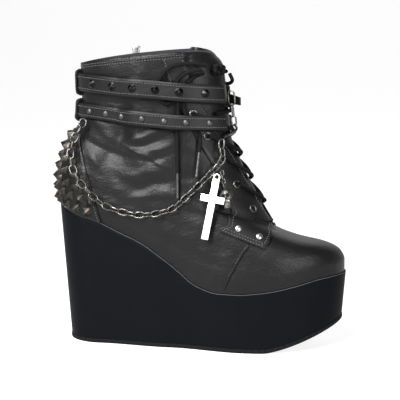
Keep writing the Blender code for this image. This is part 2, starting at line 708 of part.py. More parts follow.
def add_counter(group, looks, tree):
    """The heel counter with its rows of pyramid studs."""
    rows, columns = 9, 14
    place = np.linspace(0, 1, rows + 1)[:, None]
    turn = np.linspace(1, -1, columns + 1)[None, :]
    side = np.where(turn > 0, 1.0, -1.0) + 0 * place
    top = float(up_at_height(0.0, COUNTER_TOP, -1.0))
    up = COUNTER_LOW + (top - COUNTER_LOW) * place + 0 * turn
    angle = np.full(up.shape, 0.5)
    for _ in range(4):
        edge = angle_at_x(counter_edge(upper_point(angle, up, side)[..., 2]), up)
        angle = edge.max(axis=1, keepdims=True) * np.ones_like(up)
    angle = angle * np.abs(turn)
    made = patch("heel_counter", angle, up, side, COUNTER_THICK, looks["leather"], group, tree)
    studs = []
    for angle_k, up_k, side_k in stud_places():
        at = off_upper(angle_k, up_k, side_k, CURVE_GAP + COUNTER_THICK)
        normal = upper_normal(np.asarray(angle_k), np.asarray(up_k), np.asarray(side_k))
        reach = STUD_BASE / math.sqrt(2)
        stud = cone_mesh(4, reach, 0.0, STUD_HEIGHT, COUNTER_THICK * 0.6, math.pi / 4)
        studs.append(placed(stud, at, normal))
    union(made, studs)


def stud_places():
    """Angle, share of the way up and side of each pyramid stud, in staggered rows that follow the rings."""
    places = []
    rows = int((COUNTER_TOP - HEEL_HEIGHT - STUD_BASE * 0.7) / STUD_ROW_PITCH)
    angles = np.linspace(0.0, 1.5, 120)
    for row in range(rows + 1):
        up = float(up_at_height(0.0, HEEL_HEIGHT + STUD_BASE * 0.75 + row * STUD_ROW_PITCH, -1.0))
        for side in (-1.0, 1.0):
            points = upper_point(angles, np.full(angles.shape, up), np.full(angles.shape, side))
            along = np.concatenate([[0], np.cumsum(np.linalg.norm(np.diff(points, axis=0), axis=1))])
            edge = counter_edge(points[:, 2]) - STUD_BASE * 0.5
            reach = along[np.argmax(points[:, 0] > edge)]
            distance = 0.0 if row % 2 == 0 else STUD_PITCH / 2
            while distance < reach:
                if distance > 0 or side < 0:
                    places.append((float(np.interp(distance, along, angles)), up, side))
                distance += STUD_PITCH
    return places


def strap_out(angle):
    """How far a strap's inner face stands off the upper: close at the back, over the lace in front."""
    return STRAP_OUT + STRAP_FLARE * smooth(angle - 0.6) + STRAP_FRONT_FLARE * smooth((angle - 1.7) / 0.4)


def strap_grid(centre, width, last_x, rows=1, columns=30):
    """Places round the shaft from the front of the inner side to the front of the outer one."""
    turn = np.linspace(1, -1, columns + 1)[None, :]
    side = np.where(turn > 0, 1.0, -1.0) + np.zeros((rows + 1, 1))
    end_up = up_at_height(2.4, through(centre, last_x), -1.0)
    end = angle_at_x(last_x, end_up)
    angle = end * np.abs(turn) + np.zeros((rows + 1, 1))
    up = np.full(angle.shape, 0.8)
    across = (np.linspace(-0.5, 0.5, rows + 1) * width)[:, None]
    for _ in range(6):
        x = upper_point(angle, up, side)[..., 0]
        up = up_at_height(angle, through(centre, x) + across, side)
    return angle, up, side


def add_strap(name, centre, width, last_x, studs, group, looks):
    angle, up, side = strap_grid(centre, width, last_x)
    points = off_upper(angle, up, side, strap_out(angle))
    made = sheet(name, points, STRAP_THICK, 1.0, looks["leather"], group)
    pieces = []
    for x in studs:
        for side_k in (-1.0, 1.0):
            angle_k, up_k = locate(x, float(through(centre, x)), side_k)
            at = off_upper(angle_k, up_k, side_k, strap_out(angle_k) + STRAP_THICK)
            normal = upper_normal(angle_k, up_k, np.asarray(side_k))
            if name == "strap_upper":
                mesh = cone_mesh(8, CONE_RADIUS, 0.0, CONE_HEIGHT, 0.0006)
            else:
                mesh = cone_mesh(8, DOME_RADIUS, DOME_RADIUS * 0.45, 0.0016, 0.0006)
            pieces.append(placed(mesh, at, normal))
    union(made, pieces)


def add_keeper(name, centre, width, group, looks):
    """A leather loop on the back seam that holds a strap."""
    rows, columns = 10, 2
    z_mid = float(through(centre, -BEHIND_ORIGIN))
    half = width / 2 + 0.0050
    t = np.linspace(-1, 1, rows + 1)[:, None]
    z = z_mid + t * half
    bulge = STRAP_OUT + STRAP_THICK + 0.0006
    out = CURVE_GAP + (bulge - CURVE_GAP) * np.sqrt(np.clip(1 - np.abs(t) ** 6, 0, 1)) * smooth((1 - np.abs(t)) / 0.22)
    turn = np.linspace(1, -1, columns * 2 + 1)[None, :]
    side = np.where(turn > 0, 1.0, -1.0) + 0 * t
    angle = 0.24 * np.abs(turn) + 0 * t
    up = up_at_height(angle, z + 0 * turn, side)
    points = off_upper(angle, up, side, out + 0 * turn)
    sheet(name, points, KEEPER_THICK, 1.0, looks["leather"], group)


def ring_mesh(outer, inner, low, high, sides=8):
    """A flat washer about Z."""
    bm = bmesh.new()
    loops = []
    for radius, z in ((outer, low), (outer * 0.94, high), (inner, high), (inner, low)):
        loops.append([bm.verts.new((radius * math.cos(a), radius * math.sin(a), z))
                      for a in (2 * math.pi * k / sides for k in range(sides))])
    for a, b in zip(loops, loops[1:] + loops[:1]):
        for k in range(sides):
            n = (k + 1) % sides
            bm.faces.new((a[k], a[n], b[n], b[k]))
    bmesh.ops.recalc_face_normals(bm, faces=bm.faces)
    mesh = bpy.data.meshes.new("ring")
    bm.to_mesh(mesh)
    bm.free()
    return mesh


def add_eyelets(group, looks):
    for side, word in ((-1.0, "outer"), (1.0, "inner")):
        for k, (x, z) in enumerate(EYELETS, 1):
            angle, up = locate(x, z, side)
            low = EYESTAY_THICK + 2 * CURVE_GAP
            at = upper_point(angle, up, np.asarray(side))
            normal = upper_normal(angle, up, np.asarray(side))
            mesh = ring_mesh(EYELET_RADIUS, EYELET_HOLE, low, low + EYELET_THICK)
            new_object(f"eyelet_{word}_{k}", placed(mesh, at, normal), looks["nickel"], group)


def add_rivets(group, looks):
    for side, word in ((-1.0, "outer"), (1.0, "inner")):
        for k, (x, z) in enumerate(RIVETS, 1):
            angle, up = locate(x, z, side)
            at = off_upper(angle, up, side, EYESTAY_THICK + 2 * CURVE_GAP)
            normal = upper_normal(angle, up, np.asarray(side))
            mesh = cone_mesh(10, RIVET_RADIUS, RIVET_RADIUS * 0.5, 0.0016, 0.0)
            new_object(f"rivet_{word}_{k}", placed(mesh, at, normal), looks["nickel"], group)


def spline_points(route, step):
    """Points about step apart on a smooth curve through a route's own points."""
    p = np.array(route, float)
    p = np.vstack([2 * p[0] - p[1], p, 2 * p[-1] - p[-2]])
    fine = []
    for k in range(1, len(p) - 2):
        a, b, c, d = p[k - 1: k + 3]
        for t in np.linspace(0, 1, 24, endpoint=False):
            fine.append(0.5 * (2 * b + (c - a) * t + (2 * a - 5 * b + 4 * c - d) * t**2 + (3 * b - a - 3 * c + d) * t**3))
    fine.append(p[-2])
    fine = np.array(fine)
    along = np.concatenate([[0], np.cumsum(np.linalg.norm(np.diff(fine, axis=0), axis=1))])
    at = np.linspace(0, along[-1], max(2, round(along[-1] / step) + 1))
    return np.stack([np.interp(at, along, fine[:, k]) for k in range(3)], axis=1)


def tube(name, points, radius, look, group, cyclic=False, resolution=2):
    """A round cord or wire along points."""
    curve = bpy.data.curves.new(name, "CURVE")
    curve.dimensions = "3D"
    curve.bevel_depth = radius
    curve.bevel_resolution = resolution
    curve.use_fill_caps = not cyclic
    line = curve.splines.new("POLY")
    line.points.add(len(points) - 1)
    for p, co in zip(line.points, points):
        p.co = (*co, 1.0)
    line.use_cyclic_u = cyclic
    if look:
        curve.materials.append(look)
    made = bpy.data.objects.new(name, curve)
    group.objects.link(made)
    return made


def tube_mesh(points, radius, group, cyclic=False, resolution=1):
    """The same as a welded mesh."""
    made = tube("wire", points, radius, None, group, cyclic, resolution)
    graph = bpy.context.evaluated_depsgraph_get()
    mesh = bpy.data.meshes.new_from_object(made.evaluated_get(graph))
    curve = made.data
    bpy.data.objects.remove(made)
    bpy.data.curves.remove(curve)
    bm = bmesh.new()
    bm.from_mesh(mesh)
    bmesh.ops.remove_doubles(bm, verts=bm.verts, dist=1e-6)
    bmesh.ops.recalc_face_normals(bm, faces=bm.faces)
    bm.to_mesh(mesh)
    bm.free()
    return mesh


def merged(meshes):
    """One mesh of several closed bodies that don't touch."""
    bm = bmesh.new()
    for mesh in meshes:
        bm.from_mesh(mesh)
        bpy.data.meshes.remove(mesh)
    made = bpy.data.meshes.new("bodies")
    bm.to_mesh(made)
    bm.free()
    return made


def joined(name, meshes, look, group):
    """One body from a row of closed bodies where each overlaps only the next and the one before."""
    return union(new_object(name, merged(meshes[::2]), look, group), meshes[1::2])


def add_lace_crossings(group, looks):
    """The crossings over the tongue, each one solid of two strands. A strand lies on its upper eyelet and ends at
    the other eyestay's edge, where it goes under; the last crossing ends at the edges on both sides."""
    over_eyelet = EYESTAY_THICK + 4 * CURVE_GAP + EYELET_THICK + LACE_RADIUS
    for k in range(len(EYELETS) - 1):
        strands = []
        for start_side in (-1.0, 1.0):
            a0, u0 = locate(*EYELETS[k], start_side)
            a1, u1 = locate(*EYELETS[k + 1], -start_side)
            reach = 2 * math.pi - a0 - a1
            low_edge = math.pi - throat_angle(u0, np.asarray(start_side)) - LACE_TUCK
            high_edge = math.pi - throat_angle(u1, np.asarray(-start_side)) - LACE_TUCK
            first = (math.pi - a0 - low_edge) / reach
            last = 1.0 if k < len(EYELETS) - 2 else (math.pi - a0 + high_edge) / reach
            points = []
            for t in np.linspace(first, last, 8):
                signed = reach * t - (math.pi - a0)
                side = start_side if signed < 0 else -start_side
                rise = max(0.0, 2 * t - 1) ** 1.3 if k < len(EYELETS) - 2 else 0.0
                lift = LACE_OVER_TONGUE + (over_eyelet - LACE_OVER_TONGUE) * rise
                points.append(off_upper(math.pi - abs(signed), u0 + (u1 - u0) * t, side, lift))
            strands.append(tube_mesh(np.array(points), LACE_RADIUS, group))
        joined(f"lace_crossing_{k + 1}", strands, looks["lace"], group)


def outside(x, z, out, side=-1.0):
    """A point off the upper's face at an x and a height of that face."""
    angle, up = locate(x, z, side)
    return off_upper(angle, up, np.asarray(side), out)


def routed(route, step):
    """Points along a route given as rows of x, z, distance off the upper and side."""
    return spline_points([outside(x, z, out, side) for x, z, out, side in route], step)


def add_lace_top(group, looks):
    """The lace's knot, loops and hanging ends."""
    step = LACE_RADIUS * 4.5
    for name, route in LACE_CORDS.items():
        tube(name, routed(route, step), LACE_RADIUS, looks["lace"], group)
    x, z, out, side = KNOT
    angle, up = locate(x, z, side)
    normal = Vector(upper_normal(angle, up, np.asarray(side)))
    bm = bmesh.new()
    bmesh.ops.create_uvsphere(bm, u_segments=10, v_segments=8, radius=1.0)
    for v in bm.verts:
        v.co = Vector((v.co.x * KNOT_SIZE[0], v.co.y * KNOT_SIZE[1], v.co.z * KNOT_SIZE[2]))
    mesh = bpy.data.meshes.new("knot")
    bm.to_mesh(mesh)
    bm.free()
    new_object("lace_knot", placed(mesh, outside(x, z, out, side), normal), looks["lace"], group)
    for name in ("lace_end_outer", "lace_end_inner"):
        line = routed(LACE_CORDS[name], step)
        along = Vector(line[-1]) - Vector(line[-2])
        along.normalize()
        start = Vector(line[-1]) + along * GAP
        tip = [start + along * d for d in (0.0, TIP_LENGTH / 2, TIP_LENGTH)]
        tube(name.replace("end", "tip"), tip, TIP_RADIUS, looks["nickel"], group)


def link_points(length, width, wire, count=8):
    """One link of a chain as a closed ring of points, long along X and flat in the XY plane."""
    straight = (length - width) / 2
    radius = (width - wire) / 2
    points = []
    for k in range(count):
        turn = 2 * math.pi * (k + 0.5) / count
        x, y = math.cos(turn) * radius, math.sin(turn) * radius
        points.append(Vector((x + math.copysign(straight, x), y, 0)))
    return points


def link_mesh(centre, ahead, outward, roll, group, size):
    """One link, turned about the chain's line by roll."""
    length, width, wire = size
    x = Vector(ahead).normalized()
    z = (Vector(outward) - x * Vector(outward).dot(x)).normalized()
    y = z.cross(x)
    y, z = y * math.cos(roll) + z * math.sin(roll), z * math.cos(roll) - y * math.sin(roll)
    points = [Vector(centre) + x * p.x + y * p.y + z * p.z for p in link_points(length, width, wire)]
    return tube_mesh(points, wire / 2, group, cyclic=True, resolution=0)


def chain_links(line, size, group, tilt=0.55):
    """Links along a line of points, each in the next, alternately turned by a quarter."""
    length, _, wire = size
    along = np.concatenate([[0], np.cumsum(np.linalg.norm(np.diff(line, axis=0), axis=1))])
    count = int((along[-1] - length) / (length - 2 * wire + 0.0002)) + 1
    at = np.linspace(length / 2, along[-1] - length / 2, count)

    def read(distance):
        distance = np.clip(distance, 0, along[-1])
        return np.stack([np.interp(distance, along, line[:, k]) for k in range(3)], axis=1)

    centre = read(at)
    ahead = read(at + length / 3) - read(at - length / 3)
    meshes = []
    for k in range(count):
        outward = (centre[k][0] * 0.12 - 0.2 * (centre[k][0] < -0.1), -1.0, 0.15)
        meshes.append(link_mesh(centre[k], ahead[k], outward, tilt + math.pi / 2 * (k % 2), group, size))
    return meshes


def add_chain(group, looks):
    size = (LINK_LENGTH, LINK_WIDTH, LINK_WIRE)
    line = spline_points([outside(x, z, out) for x, z, out in CHAIN], 0.0015)
    joined("chain", chain_links(line, size, group), looks["gunmetal"], group)


def leaning_frame(lean):
    """Directions of a pendant that hangs that way: along X, down its length and out of its face."""
    down = Vector(lean).normalized()
    face = Vector((0, -1, 0))
    face = (face - down * face.dot(down)).normalized()
    across = down.cross(face)
    return across, down, face


def slab(outline, thick, at, across, down, face, bevel=0.0):
    """A flat plate from an outline of (across, down) lengths."""
    bm = bmesh.new()
    back = [bm.verts.new(Vector(at) + across * a + down * d - face * thick / 2) for a, d in outline]
    made = bm.faces.new(back)
    solid = bmesh.ops.extrude_face_region(bm, geom=[made])
    bmesh.ops.translate(bm, vec=face * thick, verts=[v for v in solid["geom"] if isinstance(v, bmesh.types.BMVert)])
    bmesh.ops.recalc_face_normals(bm, faces=bm.faces)
    if bevel:
        rim = [e for e in bm.edges if abs((e.verts[0].co - e.verts[1].co).normalized().dot(face)) < 0.1]
        bmesh.ops.bevel(bm, geom=rim, offset=bevel, segments=1, affect="EDGES")
    mesh = bpy.data.meshes.new("plate")
    bm.to_mesh(mesh)
    bm.free()
    return mesh


def add_cross(group, looks):
    """The polished cross with its ring, hung beside the chain."""
    top = Vector(outside(*CROSS_PLACE))
    across, down, face = leaning_frame(CROSS_LEAN)
    half = CROSS_WIDTH / 2
    arm = CROSS_BAR / 2
    low, high = CROSS_ARM_DOWN - half, CROSS_ARM_DOWN + half
    outline = (
        (-half, 0.0), (half, 0.0), (half, low), (arm, low), (arm, high), (half, high),
        (half, CROSS_LENGTH), (-half, CROSS_LENGTH), (-half, high), (-arm, high), (-arm, low), (-half, low),
    )
    plate = slab(outline, CROSS_THICK, top, across, down, face)
    bail = [
        top + down * (CROSS_RING * math.cos(a) - CROSS_RING * 0.8) + across * CROSS_RING * math.sin(a)
        for a in (2 * math.pi * k / 10 for k in range(10))
    ]
    joined("cross", [plate, tube_mesh(bail, LINK_WIRE / 2, group, cyclic=True)], looks["bright"], group)


def add_skull(group, looks):
    """The skull pendant on its short chain."""
    top = Vector(outside(*SKULL_PLACE))
    across, down, face = leaning_frame(SKULL_LEAN)
    centre = top + down * SKULL_DOWN
    bm = bmesh.new()
    bmesh.ops.create_uvsphere(bm, u_segments=12, v_segments=9, radius=1.0)
    for v in bm.verts:
        wide = SKULL_WIDTH / 2 * (1 - 0.12 * max(0.0, -v.co.z))
        v.co = centre + across * v.co.x * wide + face * v.co.y * SKULL_WIDTH * 0.34 - down * v.co.z * SKULL_WIDTH / 2
    head = bpy.data.meshes.new("head")
    bm.to_mesh(head)
    bm.free()
    jaw_half = SKULL_WIDTH * 0.30
    jaw = slab(
        ((-jaw_half, 0.0), (jaw_half, 0.0), (jaw_half * 0.8, SKULL_JAW), (-jaw_half * 0.8, SKULL_JAW)),
        SKULL_WIDTH * 0.42, centre + down * SKULL_WIDTH * 0.34, across, down, face,
    )
    size = (SMALL_LINK, SMALL_LINK * 0.68, SMALL_LINK * 0.17)
    line = np.array([top + down * (SKULL_DOWN - SKULL_WIDTH * 0.48) * t for t in np.linspace(0, 1, 12)])
    links = chain_links(line, size, group, 0.3)
    joined("skull", [jaw, head, *links[::-1]], looks["gunmetal"], group)


def add_front_hardware(group, looks):
    """The rings and the clasp that join the straps' two ends in front, and a strap's loose tip."""
    meshes = []
    for place, tall, wide, roll in FRONT_RINGS:
        centre = Vector(outside(*place))
        meshes.append(link_mesh(centre, (0.12, 0, -1), (0, -1, 0), roll, group, (tall, wide, RING_WIRE)))
    clasp = spline_points([outside(*place) for place in CLASP], RING_WIRE * 1.6)
    meshes.append(tube_mesh(clasp, RING_WIRE * 0.72, group, resolution=1))
    joined("clasp", meshes, looks["gunmetal"], group)
    angle, up, side = strap_grid(UPPER_STRAP, UPPER_STRAP_WIDTH, UPPER_STRAP_REACH)
    middle = off_upper(angle, up, side, strap_out(angle) + STRAP_THICK / 2).mean(axis=0)
    ahead = Vector(middle[0] - middle[1]).normalized()
    across = Vector((ahead.x + STRAP_TIP_TURN, ahead.y, 0)).normalized()
    down = Vector((0, 0, -1))
    long, tall = STRAP_TIP_LONG, STRAP_TIP_TALL
    outline = ((0, 0), (long, tall * 0.35), (long * 1.02, tall * 1.2), (0, tall))
    plate = slab(outline, STRAP_THICK, Vector(middle[0]) + ahead * (STRAP_THICK / 2 + GAP), across, down, down.cross(across))
    new_object("strap_tip", plate, looks["leather"], group)


def along_line(points, width, rows, side_value):
    """Places of a narrow band along a line of x and z on the upper."""
    line = np.array(points)
    at = np.concatenate([[0], np.cumsum(np.linalg.norm(np.diff(line, axis=0), axis=1))])
    share = np.linspace(0, at[-1], rows + 1)
    x, z = np.interp(share, at, line[:, 0]), np.interp(share, at, line[:, 1])
    dx, dz = np.gradient(x), np.gradient(z)
    size = np.hypot(dx, dz)
    across = (np.array((-0.5, 0.5)) * width)[None, :]
    x = x[:, None] + across * (-dz / size)[:, None]
    z = z[:, None] + across * (dx / size)[:, None]
    return *locate(x, z, side_value), np.full(x.shape, side_value)


def band(name, points, width, rows, side_value, thick, look, group, tree):
    angle, up, side = along_line(points, width, rows, side_value)
    return patch(name, angle, up, side, thick, look, group, tree)


def add_seams_and_zip(group, looks, tree):
    band("vamp_seam_outer", VAMP_SEAM, SEAM_WIDTH, 8, -1.0, SEAM_THICK, looks["leather"], group, tree)
    band("vamp_seam_inner", VAMP_SEAM, SEAM_WIDTH, 8, 1.0, SEAM_THICK, looks["leather"], group, tree)
    band("zip_teeth", ZIP_LINE, ZIP_WIDTH, 14, 1.0, ZIP_THICK, looks["nickel"], group, tree)
    x, z = ZIP_LINE[-1]
    angle, up = locate(x, z, 1.0)
    normal = Vector(upper_normal(angle, up, np.asarray(1.0)))
    top = Vector(off_upper(angle, up, np.asarray(1.0), CURVE_GAP)) + Vector((0, 0, GAP + SLIDER_TALL / 2))
    face = Vector((normal.x, normal.y, 0)).normalized()
    across = Vector((0, 0, 1)).cross(face)
    at = top + face * SLIDER_THICK / 2
    half = SLIDER_WIDE / 2
    outline = (
        (-half, -SLIDER_TALL / 2), (half, -SLIDER_TALL / 2), (half * 0.7, SLIDER_TALL / 2),
        (-half * 0.7, SLIDER_TALL / 2),
    )
    down = Vector((0, 0, -1))
    new_object("zip_slider", slab(outline, SLIDER_THICK, at, across, down, face), looks["nickel"], group)
    pull = at + face * (SLIDER_THICK / 2 + GAP + PULL_THICK / 2) + down * 0.0
    tab = PULL_WIDE / 2
    outline = ((-tab * 0.7, 0), (tab * 0.7, 0), (tab, PULL_LONG * 0.75), (tab * 0.6, PULL_LONG), (-tab * 0.6, PULL_LONG), (-tab, PULL_LONG * 0.75))
    new_object("zip_pull", slab(outline, PULL_THICK, pull, across, down, face), looks["nickel"], group)


def build():
    for old in list(bpy.data.objects):
        bpy.data.objects.remove(old)
    group = collection("wedge_boot")
    cutters = collection("cutters")
    cutters.hide_render = True
    looks = {
        "leather": material("black leather", (0.018, 0.018, 0.020), 0.42),
        "cover": material("wedge cover", (0.012, 0.013, 0.017), 0.55),
        "rubber": material("outsole rubber", (0.010, 0.010, 0.011), 0.75),
        "lining": material("lining", (0.020, 0.020, 0.022), 0.85),
        "lace": material("black lace", (0.010, 0.010, 0.010), 0.80),
        "nickel": material("nickel", (0.55, 0.55, 0.53), 0.25, 1.0),
        "gunmetal": material("gunmetal", (0.16, 0.15, 0.14), 0.35, 1.0),
        "bright": material("polished metal", (0.85, 0.85, 0.84), 0.18, 1.0),
    }
    add_sole(group, looks)
    tree = faces_of(add_upper(group, looks))
    add_tongue(group, looks)
    add_eyestay("eyestay_outer", -1.0, group, looks, tree)
    add_eyestay("eyestay_inner", 1.0, group, looks, tree)
    add_counter(group, looks, tree)
    add_strap("strap_upper", UPPER_STRAP, UPPER_STRAP_WIDTH, UPPER_STRAP_REACH, UPPER_STRAP_STUDS, group, looks)
    add_strap("strap_lower", LOWER_STRAP, LOWER_STRAP_WIDTH, LOWER_STRAP_REACH, LOWER_STRAP_STUDS, group, looks)
    add_keeper("keeper_upper", UPPER_STRAP, UPPER_STRAP_WIDTH, group, looks)
    add_keeper("keeper_lower", LOWER_STRAP, LOWER_STRAP_WIDTH, group, looks)
    add_eyelets(group, looks)
    add_rivets(group, looks)
    add_lace_crossings(group, looks)
    add_lace_top(group, looks)
    add_chain(group, looks)
    add_cross(group, looks)
    add_skull(group, looks)
    add_front_hardware(group, looks)
    add_seams_and_zip(group, looks, tree)


build()
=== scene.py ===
import math

import bmesh
import bpy
import numpy as np
from bpy.props import FloatProperty, FloatVectorProperty, PointerProperty
from mathutils import Matrix, Vector


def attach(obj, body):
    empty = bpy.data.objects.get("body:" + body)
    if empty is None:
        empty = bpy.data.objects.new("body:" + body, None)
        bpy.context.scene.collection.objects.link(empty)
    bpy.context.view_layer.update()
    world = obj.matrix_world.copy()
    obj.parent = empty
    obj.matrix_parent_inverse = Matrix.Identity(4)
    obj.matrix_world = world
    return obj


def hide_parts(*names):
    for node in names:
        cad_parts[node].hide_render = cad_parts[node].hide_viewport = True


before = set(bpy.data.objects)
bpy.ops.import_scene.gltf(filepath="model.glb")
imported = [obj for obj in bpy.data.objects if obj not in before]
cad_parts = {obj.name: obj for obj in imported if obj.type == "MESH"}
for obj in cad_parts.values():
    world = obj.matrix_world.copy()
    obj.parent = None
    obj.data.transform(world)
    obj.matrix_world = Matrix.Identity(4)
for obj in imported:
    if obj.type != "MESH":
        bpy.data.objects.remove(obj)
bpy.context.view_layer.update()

bl_info = {
    "name": "Wedge boot",
    "version": (1, 0, 0),
    "blender": (4, 5, 0),
    "location": "3D View > Sidebar > Wedge boot",
    "description": "Dresses the solids of a laced platform wedge boot in leather, lace and metal",
    "category": "Object",
}

# The last, the upper's wall and the pieces on it, metres
LENGTH = 0.278
BEHIND_ORIGIN = 0.138
HEEL_HEIGHT = 0.134
PLATFORM = 0.0542
TOE_HEIGHT = 0.070
SHAFT_TOP = 0.280
BALL_HALF = 0.050
WIDTH_BLEND = 0.020
WALL = 0.002
TOE_SWING = 0.004
MEDIAL_RISE = 0.007
OUTSOLE = 0.004
WEDGE_MARGIN = 0.0012
HEEL_SET_IN = 0.0105
TOE_SET_IN = 0.003
SPRING_START = 0.065
TOE_SPRING = 0.027
WAIST_HOLLOW = 0.0015
GAP = 0.0003
CURVE_GAP = 0.0005
THROAT_BOTTOM = 0.525
TONGUE_THICK = 0.004
TONGUE_PUFF = 0.0012
EYESTAY_THICK = 0.0014
COUNTER_THICK = 0.0012
STRAP_THICK = 0.0026
UPPER_STRAP_WIDTH = 0.0150
LOWER_STRAP_WIDTH = 0.0115
UPPER_STRAP_REACH = 0.5647 * LENGTH - BEHIND_ORIGIN
LOWER_STRAP_REACH = 0.5719 * LENGTH - BEHIND_ORIGIN
COUNTER_TOP = HEEL_HEIGHT + 0.479 * (SHAFT_TOP - HEEL_HEIGHT)
COUNTER_LOW = 0.004
COUNTER_LOW_X = 0.1547 * LENGTH - BEHIND_ORIGIN
COUNTER_TOP_X = 0.0917 * LENGTH - BEHIND_ORIGIN
COUNTER_SLANT = 0.30
STUD_ROW_PITCH = 0.0097
STUD_PITCH = 0.0110
STRAP_OUT = 0.0013
STRAP_FLARE = 0.0043
STRAP_FRONT_FLARE = 0.0024
KEEPER_THICK = 0.0018
STUD_BASE = 0.0084
STUD_HEIGHT = 0.0046
CONE_RADIUS = 0.0040
CONE_HEIGHT = 0.0042
DOME_RADIUS = 0.0030
RIVET_RADIUS = 0.0033
EYELET_RADIUS = 0.0042
EYELET_HOLE = 0.0022
EYELET_THICK = 0.0009
LACE_RADIUS = 0.0018
TIP_RADIUS = 0.0014
TIP_LENGTH = 0.023
LINK = (0.0108, 0.0076, 0.0015)
CROSS_LENGTH = 0.056
CROSS_BAR = 0.022
CROSS_WIDTH = 0.0062
CROSS_ARM_DOWN = 0.0185
CROSS_RING = 0.0026
CROSS_THICK = 0.0018
SMALL_LINK = 0.0060
SKULL_DOWN = 0.0245
SKULL_JAW = 0.0080
SKULL_WIDTH = 0.0125
RING_WIRE = 0.0016
SEAM_WIDTH = 0.0024
SEAM_THICK = 0.0009
ZIP_WIDTH = 0.0056
ZIP_THICK = 0.0009
SLIDER_WIDE = 0.0085
SLIDER_TALL = 0.0100
SLIDER_THICK = 0.0034
PULL_WIDE = 0.0050
PULL_LONG = 0.0200
PULL_THICK = 0.0012

# Rings of the upper from the feather line to the collar, as in the solid
RING_COLUMNS = (
    "up", "back_x", "back_z", "front_x", "front_z", "sag", "heel", "waist", "ball", "heel_round", "fore",
)
RINGS = (
    (0.000, 0.004, 0.000, 0.996, 0.000, 1.00, 0.64, 0.79, 1.00, 0.126, 0.658),
    (0.083, -0.002, 0.068, 0.996, 0.052, 0.92, 0.67, 0.82, 1.01, 0.126, 0.658),
    (0.167, -0.004, 0.137, 0.982, 0.100, 0.78, 0.68, 0.82, 0.98, 0.126, 0.647),
    (0.250, -0.002, 0.199, 0.950, 0.133, 0.60, 0.67, 0.81, 0.94, 0.126, 0.622),
    (0.333, 0.004, 0.260, 0.899, 0.155, 0.42, 0.66, 0.80, 0.90, 0.129, 0.586),
    (0.417, 0.014, 0.322, 0.838, 0.167, 0.20, 0.64, 0.79, 0.86, 0.137, 0.550),
    (0.500, 0.025, 0.384, 0.770, 0.181, 0.00, 0.62, 0.78, 0.82, 0.144, 0.496),
    (0.583, 0.040, 0.438, 0.734, 0.248, 0.00, 0.60, 0.77, 0.79, 0.151, 0.460),
    (0.667, 0.061, 0.500, 0.687, 0.362, 0.00, 0.59, 0.76, 0.78, 0.158, 0.406),
    (0.750, 0.077, 0.589, 0.640, 0.486, 0.00, 0.60, 0.75, 0.77, 0.165, 0.371),
    (0.833, 0.079, 0.699, 0.601, 0.629, 0.00, 0.64, 0.76, 0.76, 0.180, 0.353),
    (0.917, 0.078, 0.808, 0.590, 0.786, 0.00, 0.70, 0.78, 0.77, 0.198, 0.338),
    (1.000, 0.075, 0.918, 0.572, 1.000, 0.00, 0.76, 0.80, 0.79, 0.223, 0.331),
)

# The feather line: share of LENGTH from the heel, and share of the rise from PLATFORM to HEEL_HEIGHT behind the
# ball or to TOE_HEIGHT before it
HEEL_LINE = (
    (0.000, 1.000), (0.072, 0.880), (0.147, 0.800), (0.230, 0.675), (0.313, 0.550), (0.392, 0.365),
    (0.450, 0.212), (0.496, 0.088), (0.576, 0.004), (0.660, 0.000),
)
TOE_LINE = ((0.660, 0.000), (0.752, 0.190), (0.842, 0.530), (0.914, 0.840), (1.000, 1.000))

# How much narrower the inner side is than the outer one, as shares of its widths at the feather line
MEDIAL_SHARE = {"heel": 0.97, "waist": 0.82, "ball": 0.93}

# Half the width of the throat: share of the way up, share of BALL_HALF
THROAT = (
    (0.525, 0.00), (0.55, 0.10), (0.60, 0.17), (0.67, 0.21), (0.75, 0.26), (0.83, 0.44), (0.92, 0.62), (1.0, 0.70),
)

# The tongue: share of the way up, half width as a share of BALL_HALF, how far it lies inside the upper's
# outer face in walls
TONGUE = (
    (0.475, 0.26, 1.5), (0.58, 0.34, 1.35), (0.70, 0.44, 1.35), (0.83, 0.62, 1.35),
    (0.93, 0.72, 1.5), (0.972, 0.71, 1.9), (0.990, 0.69, 4.2), (1.000, 0.66, 7.0), (1.008, 0.60, 10.0),
)


def along(share):
    """The x at that share of LENGTH from the heel."""
    return share * LENGTH - BEHIND_ORIGIN


def rise_at(share):
    """The rise to SHAFT_TOP from the line between HEEL_HEIGHT and TOE_HEIGHT, at that share of LENGTH."""
    return SHAFT_TOP - HEEL_HEIGHT - (TOE_HEIGHT - HEEL_HEIGHT) * share


def places(*rows):
    """Shares turned into x and z: the first is of LENGTH from the heel, the second of the rise there. What follows
    them is kept."""
    return tuple(
        (along(share), SHAFT_TOP - (1 - rise) * rise_at(share), *rest) for share, rise, *rest in rows
    )


# Places on the outer side, as shares that places() turns into x and z
EYESTAY_REAR = places(
    (0.5899, 0.0830), (0.6079, 0.1131), (0.6187, 0.1864), (0.5899, 0.2871), (0.5576, 0.3946), (0.5216, 0.4760),
    (0.4856, 0.5765), (0.4388, 0.7128), (0.4065, 0.8372), (0.3885, 0.9415),
)
EYESTAY_BOTTOM = places(
    (0.5899, 0.0830), (0.6583, 0.0645), (0.7374, 0.0450),
)
EYESTAY_FRONT = places(
    (0.7374, 0.0450), (0.7464, 0.0891), (0.7500, 0.1134), (0.7410, 0.1495),
)
EYELETS = places(
    (0.6835, 0.2094), (0.6295, 0.3183), (0.5827, 0.4381), (0.5324, 0.5474), (0.4874, 0.6586), (0.4568, 0.7974),
)
RIVETS = places(
    (0.6439, 0.1133), (0.7122, 0.0944),
)
VAMP_SEAM = places(
    (0.6799, 0.0502), (0.6601, 0.0066), (0.6439, -0.0416), (0.6151, -0.1329), (0.6007, -0.1928),
)
ZIP_LINE = places(
    (0.2662, 0.1536), (0.2608, 0.3853), (0.2518, 0.6299), (0.2446, 0.9753),
)
